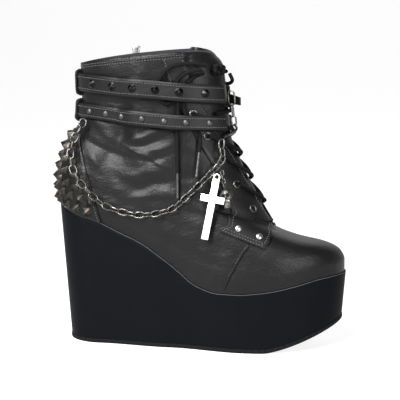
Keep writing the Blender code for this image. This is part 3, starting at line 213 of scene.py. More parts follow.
UPPER_STRAP = places(
    (0.0899, 0.7990), (0.2266, 0.7851), (0.3669, 0.7758), (0.4712, 0.7673), (0.5971, 0.7639),
)
LOWER_STRAP = places(
    (0.0899, 0.6211), (0.1871, 0.6202), (0.2986, 0.6124), (0.4496, 0.6081), (0.6151, 0.6197),
)
UPPER_STRAP_STUDS = tuple(along(share) for share in (0.1475, 0.2212, 0.2950, 0.3669, 0.4406, 0.5144))
LOWER_STRAP_STUDS = tuple(along(share) for share in (0.1331, 0.1942, 0.2572, 0.3237, 0.3957, 0.4622, 0.5288))

# The lace's free stretches: x, z, distance off the upper, side
LACE_CORDS = {
    "lace_top_outer": places(
        (0.4676, 0.8181, 0.0056, -1.0000), (0.4856, 0.8503, 0.0056, -1.0000),
        (0.5144, 0.8742, 0.0056, -1.0000),
    ),
    "lace_top_inner": places(
        (0.4676, 0.8181, 0.0056, 1.0000), (0.4928, 0.8479, 0.0056, 1.0000), (0.5396, 0.8781, 0.0056, 1.0000),
        (0.5647, 0.8875, 0.0056, 1.0000),
    ),
    "lace_loop_outer": places(
        (0.5180, 0.9107, 0.0080, -1.0000), (0.4748, 0.9206, 0.0065, -1.0000),
        (0.4245, 0.9076, 0.0048, -1.0000), (0.3921, 0.8656, 0.0046, -1.0000),
        (0.3741, 0.7999, 0.0030, -1.0000), (0.3849, 0.7304, 0.0026, -1.0000),
        (0.3993, 0.7027, 0.0027, -1.0000), (0.4155, 0.7161, 0.0030, -1.0000),
        (0.4155, 0.7682, 0.0036, -1.0000), (0.4209, 0.8265, 0.0044, -1.0000),
    ),
    "lace_loop_inner": places(
        (0.5791, 0.8744, 0.0050, 1.0000), (0.5827, 0.8363, 0.0066, 1.0000), (0.5612, 0.8213, 0.0072, 1.0000),
        (0.5252, 0.8413, 0.0088, 1.0000), (0.5108, 0.8881, 0.0095, 1.0000), (0.5396, 0.9225, 0.0090, 1.0000),
    ),
    "lace_end_outer": places(
        (0.5036, 0.8878, 0.0115, -1.0000), (0.4676, 0.8749, 0.0090, -1.0000),
        (0.4388, 0.8334, 0.0046, -1.0000), (0.4317, 0.7927, 0.0044, -1.0000),
        (0.4388, 0.7300, 0.0043, -1.0000), (0.4388, 0.6496, 0.0042, -1.0000),
        (0.4371, 0.5689, 0.0034, -1.0000), (0.4388, 0.4543, 0.0028, -1.0000),
        (0.4406, 0.3398, 0.0028, -1.0000),
    ),
    "lace_end_inner": places(
        (0.4514, 0.7541, 0.0046, -1.0000), (0.4568, 0.7147, 0.0044, -1.0000),
        (0.4633, 0.6527, 0.0043, -1.0000), (0.4820, 0.6014, 0.0043, -1.0000),
        (0.5036, 0.5624, 0.0044, -1.0000), (0.5090, 0.5240, 0.0044, -1.0000),
        (0.5072, 0.4621, 0.0044, -1.0000),
    ),
}
KNOT = places((0.5576, 0.8927, 0.0034, -1.0000))[0]
LACE_OVER_TONGUE = 0.0032
LACE_TUCK = 0.13

# The chain from the clasp to the lower keeper: x, z, distance off the upper's outer side
CHAIN = places(
    (0.5594, 0.5297, 0.0125), (0.5612, 0.4833, 0.0127), (0.5683, 0.4352, 0.0125), (0.5576, 0.3890, 0.0110),
    (0.5324, 0.3336, 0.0060), (0.5000, 0.2725, 0.0036), (0.4604, 0.1993, 0.0036), (0.4388, 0.1613, 0.0036),
    (0.4101, 0.1291, 0.0036), (0.3597, 0.0918, 0.0036), (0.3022, 0.0656, 0.0036), (0.2374, 0.0632, 0.0046),
    (0.1942, 0.0785, 0.0070), (0.1619, 0.1078, 0.0100), (0.1331, 0.1457, 0.0114), (0.1079, 0.1956, 0.0114),
    (0.0899, 0.2554, 0.0114), (0.0845, 0.3263, 0.0114), (0.0899, 0.4004, 0.0114), (0.1079, 0.4703, 0.0110),
    (0.1187, 0.5280, 0.0085), (0.1169, 0.5700, 0.0062),
)

# Places of the pendants and of the front rings, metres
CROSS_PLACE = places((0.55780, 0.32593, 0.01186))[0]
CROSS_LEAN = (-0.18, -0.14, -1.00)
SKULL_PLACE = places((0.57534, 0.37852, 0.00644))[0]
SKULL_LEAN = (0.20, -0.27, -1.00)
FRONT_RINGS = tuple(
    (places((share, rise, out))[0], tall * rise_at(share), wide, roll) for share, rise, out, tall, wide, roll in (
        (0.5827, 0.7463, 0.0085, 0.0818, 0.0080, 0.3),
        (0.5863, 0.6813, 0.0088, 0.0654, 0.0075, 1.7),
        (0.5892, 0.6300, 0.0090, 0.0571, 0.0068, 0.5),
    )
)
CLASP = places(
    (0.5906, 0.6110, 0.0092), (0.5953, 0.5899, 0.0095), (0.5906, 0.5675, 0.0100), (0.5799, 0.5549, 0.0108),
    (0.5701, 0.5441, 0.0116), (0.5629, 0.5358, 0.0122),
)


def through(table, x, column=1):
    """A smooth curve through a table's rows that never passes beyond them, as numbers for every x."""
    rows = np.array(table, float)
    at, value = rows[:, 0], rows[:, column]
    step = np.diff(at)
    slope = np.diff(value) / step
    tangent = np.zeros(len(at))
    tangent[0], tangent[-1] = slope[0], slope[-1]
    same_way = slope[:-1] * slope[1:] > 0
    total = np.where(same_way, slope[:-1] + slope[1:], 1.0)
    tangent[1:-1] = np.where(same_way, 2 * slope[:-1] * slope[1:] / total, 0.0)
    x = np.clip(np.asarray(x, float), at[0], at[-1])
    i = np.clip(np.searchsorted(at, x, side="right") - 1, 0, len(step) - 1)
    t = (x - at[i]) / step[i]
    rise = value[i] * (1 + 2 * t) * (1 - t) ** 2 + value[i + 1] * t**2 * (3 - 2 * t)
    return rise + step[i] * (tangent[i] * t * (1 - t) ** 2 - tangent[i + 1] * t**2 * (1 - t))


def share_of(x):
    """Where an x lies along the last, 0 at the heel and 1 at the toe."""
    return (np.asarray(x, float) + BEHIND_ORIGIN) / LENGTH


def feather(x):
    """Height of the wedge's upper edge at an x."""
    share = share_of(x)
    behind = (HEEL_HEIGHT - PLATFORM) * through(HEEL_LINE, share)
    before = (TOE_HEIGHT - PLATFORM) * through(TOE_LINE, share)
    return PLATFORM + behind + before


def smooth(t):
    t = np.clip(t, 0, 1)
    return t * t * (3 - 2 * t)


def ring(up):
    """The ring at that share of the way up, as lengths in metres by column name."""
    value = {name: through(RINGS, up, k) for k, name in enumerate(RING_COLUMNS) if k}
    for name in ("back_x", "front_x", "fore"):
        value[name] = value[name] * LENGTH - BEHIND_ORIGIN
    value["heel_round"] = value["heel_round"] * LENGTH
    value["back_z"] = HEEL_HEIGHT + value["back_z"] * (SHAFT_TOP - HEEL_HEIGHT)
    value["front_z"] = TOE_HEIGHT + value["front_z"] * (SHAFT_TOP - TOE_HEIGHT)
    return value


def upper_point(angle, up, side, beyond=0.0):
    """A point of the upper's outer face. The angle is 0 at the back seam and pi on the front line; side is -1 on
    the outer side and 1 on the inner one; "beyond" continues the top ring upwards by that share."""
    row = ring(up)
    share = (1 - np.cos(angle)) / 2
    x = row["back_x"] + share * (row["front_x"] - row["back_x"])
    low = ring(np.zeros_like(np.asarray(up, float)))
    line = low["back_z"] + (low["front_z"] - low["back_z"]) * np.clip(
        (x - low["back_x"]) / (low["front_x"] - low["back_x"]), 0, 1
    )
    z = row["back_z"] + (row["front_z"] - row["back_z"]) * share + row["sag"] * (feather(x) - line)
    inner = side > 0
    near_floor = (1 - up) ** 2
    width = {
        name: row[name] * BALL_HALF * np.where(inner, 1 - (1 - MEDIAL_SHARE[name]) * near_floor, 1.0)
        for name in ("heel", "waist", "ball")
    }
    heel_end = row["back_x"] + row["heel_round"]
    middle = (heel_end + row["fore"]) / 2
    reach = np.maximum((row["fore"] - heel_end) / 2, WIDTH_BLEND)
    to_waist = smooth((x - middle) / reach + 1)
    to_ball = smooth((x - middle) / reach)
    half = width["heel"] + (width["waist"] - width["heel"]) * to_waist
    half = half + (width["ball"] - width["waist"]) * to_ball
    back = np.clip((heel_end - x) / row["heel_round"], 0, 1)
    front = np.clip((x - row["fore"]) / (row["front_x"] - row["fore"]), 0, 1)
    half = half * np.sqrt(np.clip(1 - back**2, 0, 1)) * np.sqrt(np.clip(1 - front**2.15, 0, 1))
    swing = TOE_SWING * smooth((share_of(x) - 0.6) / 0.4) * near_floor
    rise = MEDIAL_RISE * np.where(inner, np.sin(angle), 0.0) * smooth((up - 0.75) / 0.25)
    z = z + rise + beyond * (SHAFT_TOP - HEEL_HEIGHT)
    return np.stack(np.broadcast_arrays(x, side * half + swing, z), axis=-1)


def upper_normal(angle, up, side):
    """The outward direction of the upper's face."""
    step = 1e-3
    low, high = np.maximum(up - step, 0.0), np.minimum(up + step, 1.0)

    def past_seam(turned):
        crossed = (turned < 0) | (turned > math.pi)
        kept = np.where(turned > math.pi, 2 * math.pi - turned, np.abs(turned))
        return upper_point(kept, up, np.where(crossed, -side, side))

    along = past_seam(angle + step) - past_seam(angle - step)
    rise = upper_point(angle, high, side) - upper_point(angle, low, side)
    normal = np.cross(along, rise) * -np.asarray(side, float)[..., None]
    return normal / np.maximum(np.linalg.norm(normal, axis=-1, keepdims=True), 1e-12)


def off_upper(angle, up, side, out, beyond=0.0):
    """The upper's point moved outwards by a distance."""
    angle, up, side, out, beyond = np.broadcast_arrays(
        *[np.asarray(v, float) for v in (angle, up, side, out, beyond)]
    )
    return upper_point(angle, up, side, beyond) + upper_normal(angle, up, side) * out[..., None]


def halved(low, high, too_low, rounds=40):
    """The value between low and high where too_low stops being true."""
    for _ in range(rounds):
        middle = (low + high) / 2
        under = too_low(middle)
        low = np.where(under, middle, low)
        high = np.where(under, high, middle)
    return (low + high) / 2


def angle_at_x(x, up):
    """The angle of the ring's point at that x."""
    row = ring(up)
    share = np.clip((x - row["back_x"]) / (row["front_x"] - row["back_x"]), 0, 1)
    return np.arccos(1 - 2 * share)


def locate(x, z, side=-1.0):
    """The angle and the share of the way up of the upper's point with that x and z."""
    x, z = np.broadcast_arrays(np.asarray(x, float), np.asarray(z, float))
    zero = np.zeros(x.shape)
    up = halved(zero, zero + 1, lambda u: upper_point(angle_at_x(x, u), u, side + zero)[..., 2] < z)
    return angle_at_x(x, up), up


def up_at_height(angle, z, side):
    """The share of the way up where that angle reaches that height."""
    angle, z, side = np.broadcast_arrays(*[np.asarray(v, float) for v in (angle, z, side)])
    zero = np.zeros(angle.shape)
    return halved(zero, zero + 1, lambda u: upper_point(angle, u, side)[..., 2] < z)


def angle_at_half_width(half, up, side):
    """The angle, before the front line, where the ring is that far from the middle."""
    half, up, side = np.broadcast_arrays(*[np.asarray(v, float) for v in (half, up, side)])
    zero = np.zeros(half.shape)
    centre = upper_point(zero + math.pi, up, side)[..., 1]
    return halved(
        zero + math.pi * 0.6,
        zero + math.pi,
        lambda a: side * (upper_point(a, up, side)[..., 1] - centre) > half,
    )


def throat_angle(up, side):
    """The angle of the throat's edge; pi where the upper is closed in front."""
    half = BALL_HALF * through(THROAT, up)
    return np.where(up > THROAT_BOTTOM + 1e-6, angle_at_half_width(half, up, side), math.pi)


def plan_outline(out, lift, columns):
    """Both sides of the feather outline, moved outwards in plan, at a height over the feather line."""
    angle = np.linspace(0, math.pi, columns)
    sides = []
    for side in (-1.0, 1.0):
        points = upper_point(angle, np.zeros(columns), np.full(columns, side))
        along = np.gradient(points[:, :2], axis=0)
        along[0] = (0.0, side)
        along[-1] = (0.0, -side)
        normal = np.stack([along[:, 1], -along[:, 0]], axis=1) * -side
        normal /= np.linalg.norm(normal, axis=1, keepdims=True)
        moved = points[:, :2] + normal * out
        moved[0, 1] = points[0, 1]
        moved[-1, 1] = points[-1, 1]
        sides.append(np.column_stack([moved, feather(moved[:, 0]) + lift]))
    return np.array(sides)


def spring(x):
    """How far the toe lifts the underside off the floor."""
    toe = LENGTH - BEHIND_ORIGIN
    past = np.clip((np.asarray(x, float) - SPRING_START) / (toe - SPRING_START), 0, 1)
    return TOE_SPRING * past**1.35


def floor_outline(height, out=0.0, columns=121):
    """The sole's outline at a height over its underside: set in at the heel's back and the toe, hollow at the
    waist."""
    top = plan_outline(WEDGE_MARGIN, 0.0, columns)
    share = share_of(top[:, :, 0])
    x = top[:, :, 0] + (HEEL_SET_IN + out) * np.clip(1 - share / 0.75, 0, 1) - (TOE_SET_IN + out) * smooth(
        (share - 0.75) / 0.25
    )
    hollow = WAIST_HOLLOW * np.sin(math.pi * np.clip(share, 0, 1))
    y = top[:, :, 1] * (1 - (hollow + out) / BALL_HALF)
    return np.stack([x, y, spring(x) + height], axis=-1)


def counter_edge(z):
    """The x of the counter's front edge at a height."""
    return np.maximum(COUNTER_LOW_X - COUNTER_SLANT * (z - HEEL_HEIGHT), COUNTER_TOP_X)


def stud_places():
    """Angle, share of the way up and side of each pyramid stud, in staggered rows that follow the rings."""
    places = []
    rows = int((COUNTER_TOP - HEEL_HEIGHT - STUD_BASE * 0.7) / STUD_ROW_PITCH)
    angles = np.linspace(0.0, 1.5, 120)
    for row in range(rows + 1):
        up = float(up_at_height(0.0, HEEL_HEIGHT + STUD_BASE * 0.75 + row * STUD_ROW_PITCH, -1.0))
        for side in (-1.0, 1.0):
            points = upper_point(angles, np.full(angles.shape, up), np.full(angles.shape, side))
            along = np.concatenate([[0], np.cumsum(np.linalg.norm(np.diff(points, axis=0), axis=1))])
            edge = counter_edge(points[:, 2]) - STUD_BASE * 0.5
            reach = along[np.argmax(points[:, 0] > edge)]
            distance = 0.0 if row % 2 == 0 else STUD_PITCH / 2
            while distance < reach:
                if distance > 0 or side < 0:
                    places.append((float(np.interp(distance, along, angles)), up, side))
                distance += STUD_PITCH
    return places


def strap_out(angle):
    """How far a strap's inner face stands off the upper: close at the back, over the lace in front."""
    return STRAP_OUT + STRAP_FLARE * smooth(angle - 0.6) + STRAP_FRONT_FLARE * smooth((angle - 1.7) / 0.4)


def strap_grid(centre, width, last_x, rows=1, columns=30):
    """Places round the shaft from the front of the inner side to the front of the outer one."""
    turn = np.linspace(1, -1, columns + 1)[None, :]
    side = np.where(turn > 0, 1.0, -1.0) + np.zeros((rows + 1, 1))
    end_up = up_at_height(2.4, through(centre, last_x), -1.0)
    end = angle_at_x(last_x, end_up)
    angle = end * np.abs(turn) + np.zeros((rows + 1, 1))
    up = np.full(angle.shape, 0.8)
    across = (np.linspace(-0.5, 0.5, rows + 1) * width)[:, None]
    for _ in range(6):
        x = upper_point(angle, up, side)[..., 0]
        up = up_at_height(angle, through(centre, x) + across, side)
    return angle, up, side


def spline_points(route, step):
    """Points about step apart on a smooth curve through a route's own points."""
    p = np.array(route, float)
    p = np.vstack([2 * p[0] - p[1], p, 2 * p[-1] - p[-2]])
    fine = []
    for k in range(1, len(p) - 2):
        a, b, c, d = p[k - 1: k + 3]
        for t in np.linspace(0, 1, 24, endpoint=False):
            square, cube = 2 * a - 5 * b + 4 * c - d, 3 * b - a - 3 * c + d
            fine.append(0.5 * (2 * b + (c - a) * t + square * t**2 + cube * t**3))
    fine.append(p[-2])
    fine = np.array(fine)
    along = np.concatenate([[0], np.cumsum(np.linalg.norm(np.diff(fine, axis=0), axis=1))])
    at = np.linspace(0, along[-1], max(2, round(along[-1] / step) + 1))
    return np.stack([np.interp(at, along, fine[:, k]) for k in range(3)], axis=1)


def outside(x, z, out, side=-1.0):
    """A point off the upper's face at an x and a height of that face."""
    angle, up = locate(x, z, side)
    return off_upper(angle, up, np.asarray(side), out)


def routed(route, step):
    """Points along a route given as rows of x, z, distance off the upper and side."""
    return spline_points([outside(x, z, out, side) for x, z, out, side in route], step)


def link_points(length, width, wire, count=8):
    """One link of a chain as a closed ring of points, long along X and flat in the XY plane."""
    straight = (length - width) / 2
    radius = (width - wire) / 2
    points = []
    for k in range(count):
        turn = 2 * math.pi * (k + 0.5) / count
        x, y = math.cos(turn) * radius, math.sin(turn) * radius
        points.append(Vector((x + math.copysign(straight, x), y, 0)))
    return points


def leaning_frame(lean):
    """Directions of a pendant that hangs that way: along X, down its length and out of its face."""
    down = Vector(lean).normalized()
    face = Vector((0, -1, 0))
    face = (face - down * face.dot(down)).normalized()
    across = down.cross(face)
    return across, down, face


def along_line(points, width, rows, side_value):
    """Places of a narrow band along a line of x and z on the upper."""
    line = np.array(points)
    at = np.concatenate([[0], np.cumsum(np.linalg.norm(np.diff(line, axis=0), axis=1))])
    share = np.linspace(0, at[-1], rows + 1)
    x, z = np.interp(share, at, line[:, 0]), np.interp(share, at, line[:, 1])
    dx, dz = np.gradient(x), np.gradient(z)
    size = np.hypot(dx, dz)
    across = (np.array((-0.5, 0.5)) * width)[None, :]
    x = x[:, None] + across * (-dz / size)[:, None]
    z = z[:, None] + across * (dx / size)[:, None]
    return *locate(x, z, side_value), np.full(x.shape, side_value)


# Rounding of cut edges: leather, straps and studs
LEATHER_EDGE = 0.0004
STRAP_EDGE = 0.0005
STUD_EDGE = 0.00035
EYESTAY_OUT = 0.0006
# A profile's point on its own axis, just off it
AXIS = 1e-5
# A tooth of the zip as a matrix's diagonal, and the skull's teeth
ZIP_TOOTH = (0.0032, 0.0008, 0.0008, 1)
TOOTH_PITCH = 0.00115
# The skull's hollows in its half sizes: across, up, reach, depth
SKULL_HOLLOWS = ((0.36, -0.10, 0.24, 0.42), (-0.36, -0.10, 0.24, 0.42), (0.0, -0.52, 0.13, 0.26))

# Creases of the outer side: height (minus for a trough), half width, points as x and z
CREASES = (
    (0.0016, 0.0030, ((-0.069, 0.194), (-0.050, 0.197), (-0.031, 0.205))),
    (-0.0018, 0.0040, ((-0.066, 0.187), (-0.046, 0.190), (-0.028, 0.198))),
    (0.0016, 0.0030, ((-0.069, 0.190), (-0.047, 0.181), (-0.025, 0.169))),
    (0.0012, 0.0026, ((-0.043, 0.184), (-0.031, 0.187), (-0.018, 0.192))),
    (-0.0012, 0.0034, ((-0.050, 0.176), (-0.038, 0.176), (-0.022, 0.182))),
    (-0.0012, 0.0055, ((-0.110, 0.197), (-0.098, 0.190), (-0.082, 0.183), (-0.056, 0.176))),
    (0.0013, 0.0075, ((-0.103, 0.184), (-0.093, 0.171), (-0.082, 0.158))),
    (0.0010, 0.0065, ((-0.092, 0.204), (-0.080, 0.196), (-0.069, 0.189))),
    (-0.0013, 0.0065, ((-0.060, 0.146), (-0.040, 0.154), (-0.020, 0.156))),
    (0.0011, 0.0060, ((-0.066, 0.159), (-0.046, 0.165), (-0.026, 0.167))),
    (0.0007, 0.0050, ((-0.066, 0.140), (-0.044, 0.143), (-0.018, 0.145))),
    (0.0008, 0.0045, ((-0.016, 0.186), (-0.009, 0.190), (-0.002, 0.193))),
    (-0.0008, 0.0045, ((-0.018, 0.160), (-0.008, 0.161), (0.002, 0.160))),
    (-0.0006, 0.0050, ((-0.010, 0.130), (0.010, 0.126), (0.024, 0.118))),
    (0.0005, 0.0070, ((-0.020, 0.112), (0.000, 0.106), (0.018, 0.104))),
    (-0.0005, 0.0045, ((0.060, 0.088), (0.072, 0.093), (0.082, 0.100))),
    (0.0005, 0.0060, ((-0.100, 0.262), (-0.070, 0.262), (-0.046, 0.258))),
    (-0.0005, 0.0050, ((-0.090, 0.232), (-0.060, 0.230), (-0.030, 0.226))),
    (-0.0008, 0.0045, ((-0.103, 0.168), (-0.098, 0.150), (-0.092, 0.134))),
    (0.0006, 0.0045, ((-0.112, 0.214), (-0.100, 0.212), (-0.086, 0.206))),
)


def crease(x, z, side):
    """How far the leather stands out or in at a place, in soft troughs and ridges."""
    out = 0.00025 * np.sin(x * 210 + z * 90) * np.sin(z * 260 - x * 60)
    for height, wide, line in CREASES:
        near, share = np.full(np.shape(x), 1.0), np.zeros(np.shape(x))
        for k, ((x0, z0), (x1, z1)) in enumerate(zip(line, line[1:])):
            dx, dz = x1 - x0, z1 - z0
            passed = np.clip(((x - x0) * dx + (z - z0) * dz) / (dx * dx + dz * dz), 0, 1)
            away = np.hypot(x - x0 - passed * dx, z - z0 - passed * dz)
            share = np.where(away < near, (k + passed) / (len(line) - 1), share)
            near = np.minimum(near, away)
        fading = 0.35 + 0.65 * np.sin(math.pi * share)
        crest = 0.5 * np.exp(-((near / wide) ** 2)) + 0.6 * np.exp(-((near / wide / 0.6) ** 2))
        out = out + np.where(side < 0, 1.0, 0.55) * height * fading * crest
    return out


def skin(angle, up, side, out=0.0, beyond=0.0):
    """The creased leather's face, or a place over it."""
    angle, up, side, out, beyond = np.broadcast_arrays(
        *[np.asarray(v, float) for v in (angle, up, side, out, beyond)]
    )
    flat = upper_point(angle, up, side)
    calm = smooth(up / 0.12) * smooth((1.0 - up) / 0.05) * smooth((0.10 - flat[..., 0]) / 0.05)
    return off_upper(angle, up, side, out + calm * crease(flat[..., 0], flat[..., 2], side), beyond)


class Value:
    """A material socket that can be used in sums."""

    def __init__(self, finish, socket):
        self.finish = finish
        self.socket = socket

    def work(self, kind, *values):
        return self.finish.node("ShaderNodeMath", {"operation": kind}, dict(enumerate(values)))

    def __add__(self, other):
        return self.work("ADD", self, other)

    __radd__ = __add__

    def __sub__(self, other):
        return self.work("SUBTRACT", self, other)

    def __rsub__(self, other):
        return self.work("SUBTRACT", other, self)

    def __mul__(self, other):
        return self.work("MULTIPLY", self, other)

    __rmul__ = __mul__

    def step(self, low, high):
        """0 under low, 1 over high and smooth between."""
        inputs = {"Value": self, "From Min": low, "From Max": high}
        return self.finish.node("ShaderNodeMapRange", {"interpolation_type": "SMOOTHSTEP"}, inputs)


class Finish:
    """A material under construction."""

    def __init__(self, name, **fixed):
        self.made = bpy.data.materials.new(name)
        self.made.use_nodes = True
        self.tree = self.made.node_tree
        self.shader = self.tree.nodes["Principled BSDF"]
        for socket, value in fixed.items():
            self.shader.inputs[socket.replace("_", " ")].default_value = value
        self.place = self.node("ShaderNodeTexCoord", {}, {}, "Object")

    def node(self, kind, settings, inputs, output=0):
        made = self.tree.nodes.new(kind)
        for name, value in settings.items():
            setattr(made, name, value)
        for name, value in inputs.items():
            if isinstance(value, Value):
                self.tree.links.new(value.socket, made.inputs[name])
            else:
                made.inputs[name].default_value = value
        return Value(self, made.outputs[output])

    def noise(self, scale, detail=3.0, rough=0.55, stretch=None):
        where = self.place
        if stretch:
            where = self.node("ShaderNodeMapping", {}, {"Vector": where, "Scale": stretch})
        inputs = {"Vector": where, "Scale": scale, "Detail": detail, "Roughness": rough}
        return self.node("ShaderNodeTexNoise", {}, inputs)

    def cells(self, scale, feature="F1"):
        return self.node("ShaderNodeTexVoronoi", {"feature": feature}, {"Vector": self.place, "Scale": scale})

    def mixed(self, share, low, high):
        """A colour between two."""
        made = {0: share}
        for slot, colour in ((6, low), (7, high)):
            made[slot] = colour if isinstance(colour, Value) else (*colour[:3], 1.0)
        return self.node("ShaderNodeMix", {"data_type": "RGBA"}, made, 2)

    def feed(self, socket, value):
        self.tree.links.new(value.socket, self.shader.inputs[socket])

    def bumped(self, height, deep, under=None):
        inputs = {"Strength": 1.0, "Distance": deep, "Height": height}
        if under is not None:
            inputs["Normal"] = under
        return self.node("ShaderNodeBump", {}, inputs)


def leather_finish(name, colour, rough, grain, shine, spread=0.10, lift=1.8, coat=0.0):
    made = Finish(name, Coat_Weight=coat, Coat_Roughness=0.25, Specular_IOR_Level=shine)
    patches = made.noise(30, 3, 0.6)
    fine = made.noise(900, 2, 0.5)
    pale = tuple(c * lift for c in colour)
    worn = patches.step(0.45, 0.75)
    made.feed("Base Color", made.mixed(worn * 0.35 + fine * 0.15, colour, pale))
    made.feed("Roughness", rough - spread / 2 + patches * spread + fine * 0.08)
    wrinkles = made.noise(120, 3, 0.5, (1.0, 1.0, 1.7))
    pebble = made.cells(900, "SMOOTH_F1")
    soft = made.bumped(wrinkles, grain * 1.6)
    made.feed("Normal", made.bumped(pebble, grain * 0.5, soft))
    return made.made


def metal_finish(name, colour, rough, dark=0.35, scale=260.0, dents=0.00006):
    made = Finish(name, Metallic=1.0)
    stain = made.noise(scale, 4, 0.65).step(0.35, 0.72)
    made.feed("Base Color", made.mixed(stain, tuple(c * dark for c in colour), colour))
    made.feed("Roughness", rough + (1 - stain) * 0.22)
    if dents:
        made.feed("Normal", made.bumped(made.noise(scale * 2, 3), dents))
    return made.made


def braid_finish(name, colour):
    """Braided cord: crossing strands along the piece's own length."""
    made = Finish(name, Roughness=0.85, Specular_IOR_Level=0.12)
    along = made.node("ShaderNodeUVMap", {}, {}, 0)
    split = made.node("ShaderNodeSeparateXYZ", {}, {"Vector": along})
    across = made.node("ShaderNodeSeparateXYZ", {}, {"Vector": along}, 1)
    left = (split * 3900 + across * 18.85).work("SINE", split * 3900 + across * 18.85)
    right = (split * 3900 - across * 18.85).work("SINE", split * 3900 - across * 18.85)
    strand = left * right * 0.5 + 0.5
    pale = tuple(c * 3.0 for c in colour)
    made.feed("Base Color", made.mixed(strand * 0.7, colour, pale))
    made.feed("Normal", made.bumped(strand, 0.00035))
    return made.made


def cloth_finish(name, colour):
    made = Finish(name, Roughness=0.9, Specular_IOR_Level=0.2)
    weave = made.noise(1500, 2, 0.5)
    made.feed("Base Color", made.mixed(weave, colour, tuple(c * 2.4 for c in colour)))
    made.feed("Normal", made.bumped(weave, 0.0002))
    return made.made


def rubber_finish(name, colour):
    made = Finish(name, Roughness=0.8, Specular_IOR_Level=0.12)
    ribs = made.node(
        "ShaderNodeTexWave",
        {"wave_type": "BANDS", "bands_direction": "X", "wave_profile": "SIN"},
        {"Vector": made.place, "Scale": 55.0, "Distortion": 0.0},
    )
    dust = made.noise(300, 3)
    made.feed("Base Color", made.mixed(dust.step(0.5, 0.8) * 0.5, colour, tuple(c * 3 for c in colour)))
    made.feed("Normal", made.bumped(ribs, 0.0006))
    return made.made


LOOKS = {}


def look(name):
    """The finish of that name, made from the colours when it is first used."""
    if name not in LOOKS:
        hue = bpy.context.scene.boot_colours
        make = {
            "leather": lambda: leather_finish("black_leather", tuple(hue.leather), 0.38, 0.00030, 0.15),
            "shaft": lambda: leather_finish("strap_leather", tuple(hue.strap), 0.44, 0.00020, 0.17),
            "cover": lambda: leather_finish("wedge_cover", tuple(hue.cover), 0.52, 0.00005, 0.04, 0.06, 1.5),
            "lining": lambda: cloth_finish("lining_cloth", tuple(hue.lining)),
            "rubber": lambda: rubber_finish("outsole_rubber", (0.0016, 0.0016, 0.0018)),
            "lace": lambda: braid_finish("lace_braid", tuple(hue.lace)),
            "thread": lambda: cloth_finish("thread", tuple(hue.thread)),
            "nickel": lambda: metal_finish("nickel", tuple(hue.nickel), 0.22, 0.7),
            "gunmetal": lambda: metal_finish("antique_metal", tuple(hue.gunmetal), 0.26, 0.25),
            "pewter": lambda: metal_finish("stud_pewter", tuple(hue.pewter), 0.30, 0.45),
            "black nickel": lambda: metal_finish("black_nickel", tuple(hue.black_nickel), 0.24, 0.5),
            "smoke": lambda: metal_finish("smoked_metal", tuple(hue.smoke), 0.36, 0.6),
            "bright": lambda: metal_finish("polished_metal", tuple(hue.bright), 0.34, 0.96, dents=0),
            # painted highlight: the lighter grey of the rod along the feather edge stands in for light caught by
            # the wedge's rounded top edge
            "welt": lambda: cloth_finish("edge_line", tuple(hue.welt)),
            # near-black: painted shade in the eyelet holes, and the black patina in the skull's recesses
            "dark": lambda: cloth_finish("eyelet_hollow", (0.002, 0.002, 0.002)),
        }
        LOOKS[name] = make[name]()
    return LOOKS[name]


def dressed(bm, name, looks, body="root", nodes=(), smooth_below=40.0):
    """Makes an object of a mesh, gives it its finish and has it ride its body."""
    mesh = bpy.data.meshes.new(name)
    bm.to_mesh(mesh)
    bm.free()
    mesh.shade_smooth()
    mesh.set_sharp_from_angle(angle=math.radians(smooth_below))
    made = bpy.data.objects.new(name, mesh)
    bpy.context.scene.collection.objects.link(made)
    for one in looks if isinstance(looks, (list, tuple)) else [looks]:
        mesh.materials.append(look(one))
    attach(made, body)
    if nodes:
        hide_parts(*nodes)
    return made


def cloth_grid(bm, points, lengths=None, closed=False):
    """A sheet of quads laid through rows and columns of points, with a UV map in metres."""
    rows, columns = points.shape[:2]
    made = bmesh.ops.create_grid(bm, x_segments=columns - 1, y_segments=rows - 1, size=1.0)["verts"]
    layer = bm.loops.layers.uv.active or bm.loops.layers.uv.new("UVMap")
    place = {}
    for v in made:
        column = round((v.co.x + 1) / 2 * (columns - 1))
        row = round((v.co.y + 1) / 2 * (rows - 1))
        place[v] = (row, column)
    for face in {f for v in made for f in v.link_faces}:
        for loop in face.loops:
            row, column = place[loop.vert]
            loop[layer].uv = (lengths[row] if lengths is not None else row / rows, column / (columns - 1))
    for v, (row, column) in place.items():
        v.co = points[row, column]
    if closed:
        bmesh.ops.remove_doubles(bm, verts=made, dist=2e-5)
    return made


def solid_wall(made, thick, offset, bevel=0.0, segments=2, inner=0):
    wall = made.modifiers.new("Wall", "SOLIDIFY")
    wall.thickness = thick
    wall.offset = offset
    wall.use_even_offset = True
    wall.material_offset = inner
    if bevel:
        edge = made.modifiers.new("Edge", "BEVEL")
        edge.width = bevel
        edge.segments = segments
        edge.limit_method = "ANGLE"
        edge.angle_limit = math.radians(50)
    return made


def outward(points, angle, up, side):
    """The grid turned so that its faces look away from the foot."""
    turned = np.cross(points[0, 1] - points[0, 0], points[1, 0] - points[0, 0])
    if np.dot(turned, upper_normal(angle[0, 0], up[0, 0], side[0, 0])) < 0:
        return points[:, ::-1]
    return points


def overlay(name, angle, up, side, thick, looks, nodes, out=CURVE_GAP, bevel=LEATHER_EDGE):
    """A piece of leather on the upper."""
    points = outward(skin(angle, up, side, out), angle, up, side)
    bm = bmesh.new()
    cloth_grid(bm, points, closed=True)
    made = dressed(bm, name, looks, "root", nodes)
    return solid_wall(made, thick, 1.0, bevel)


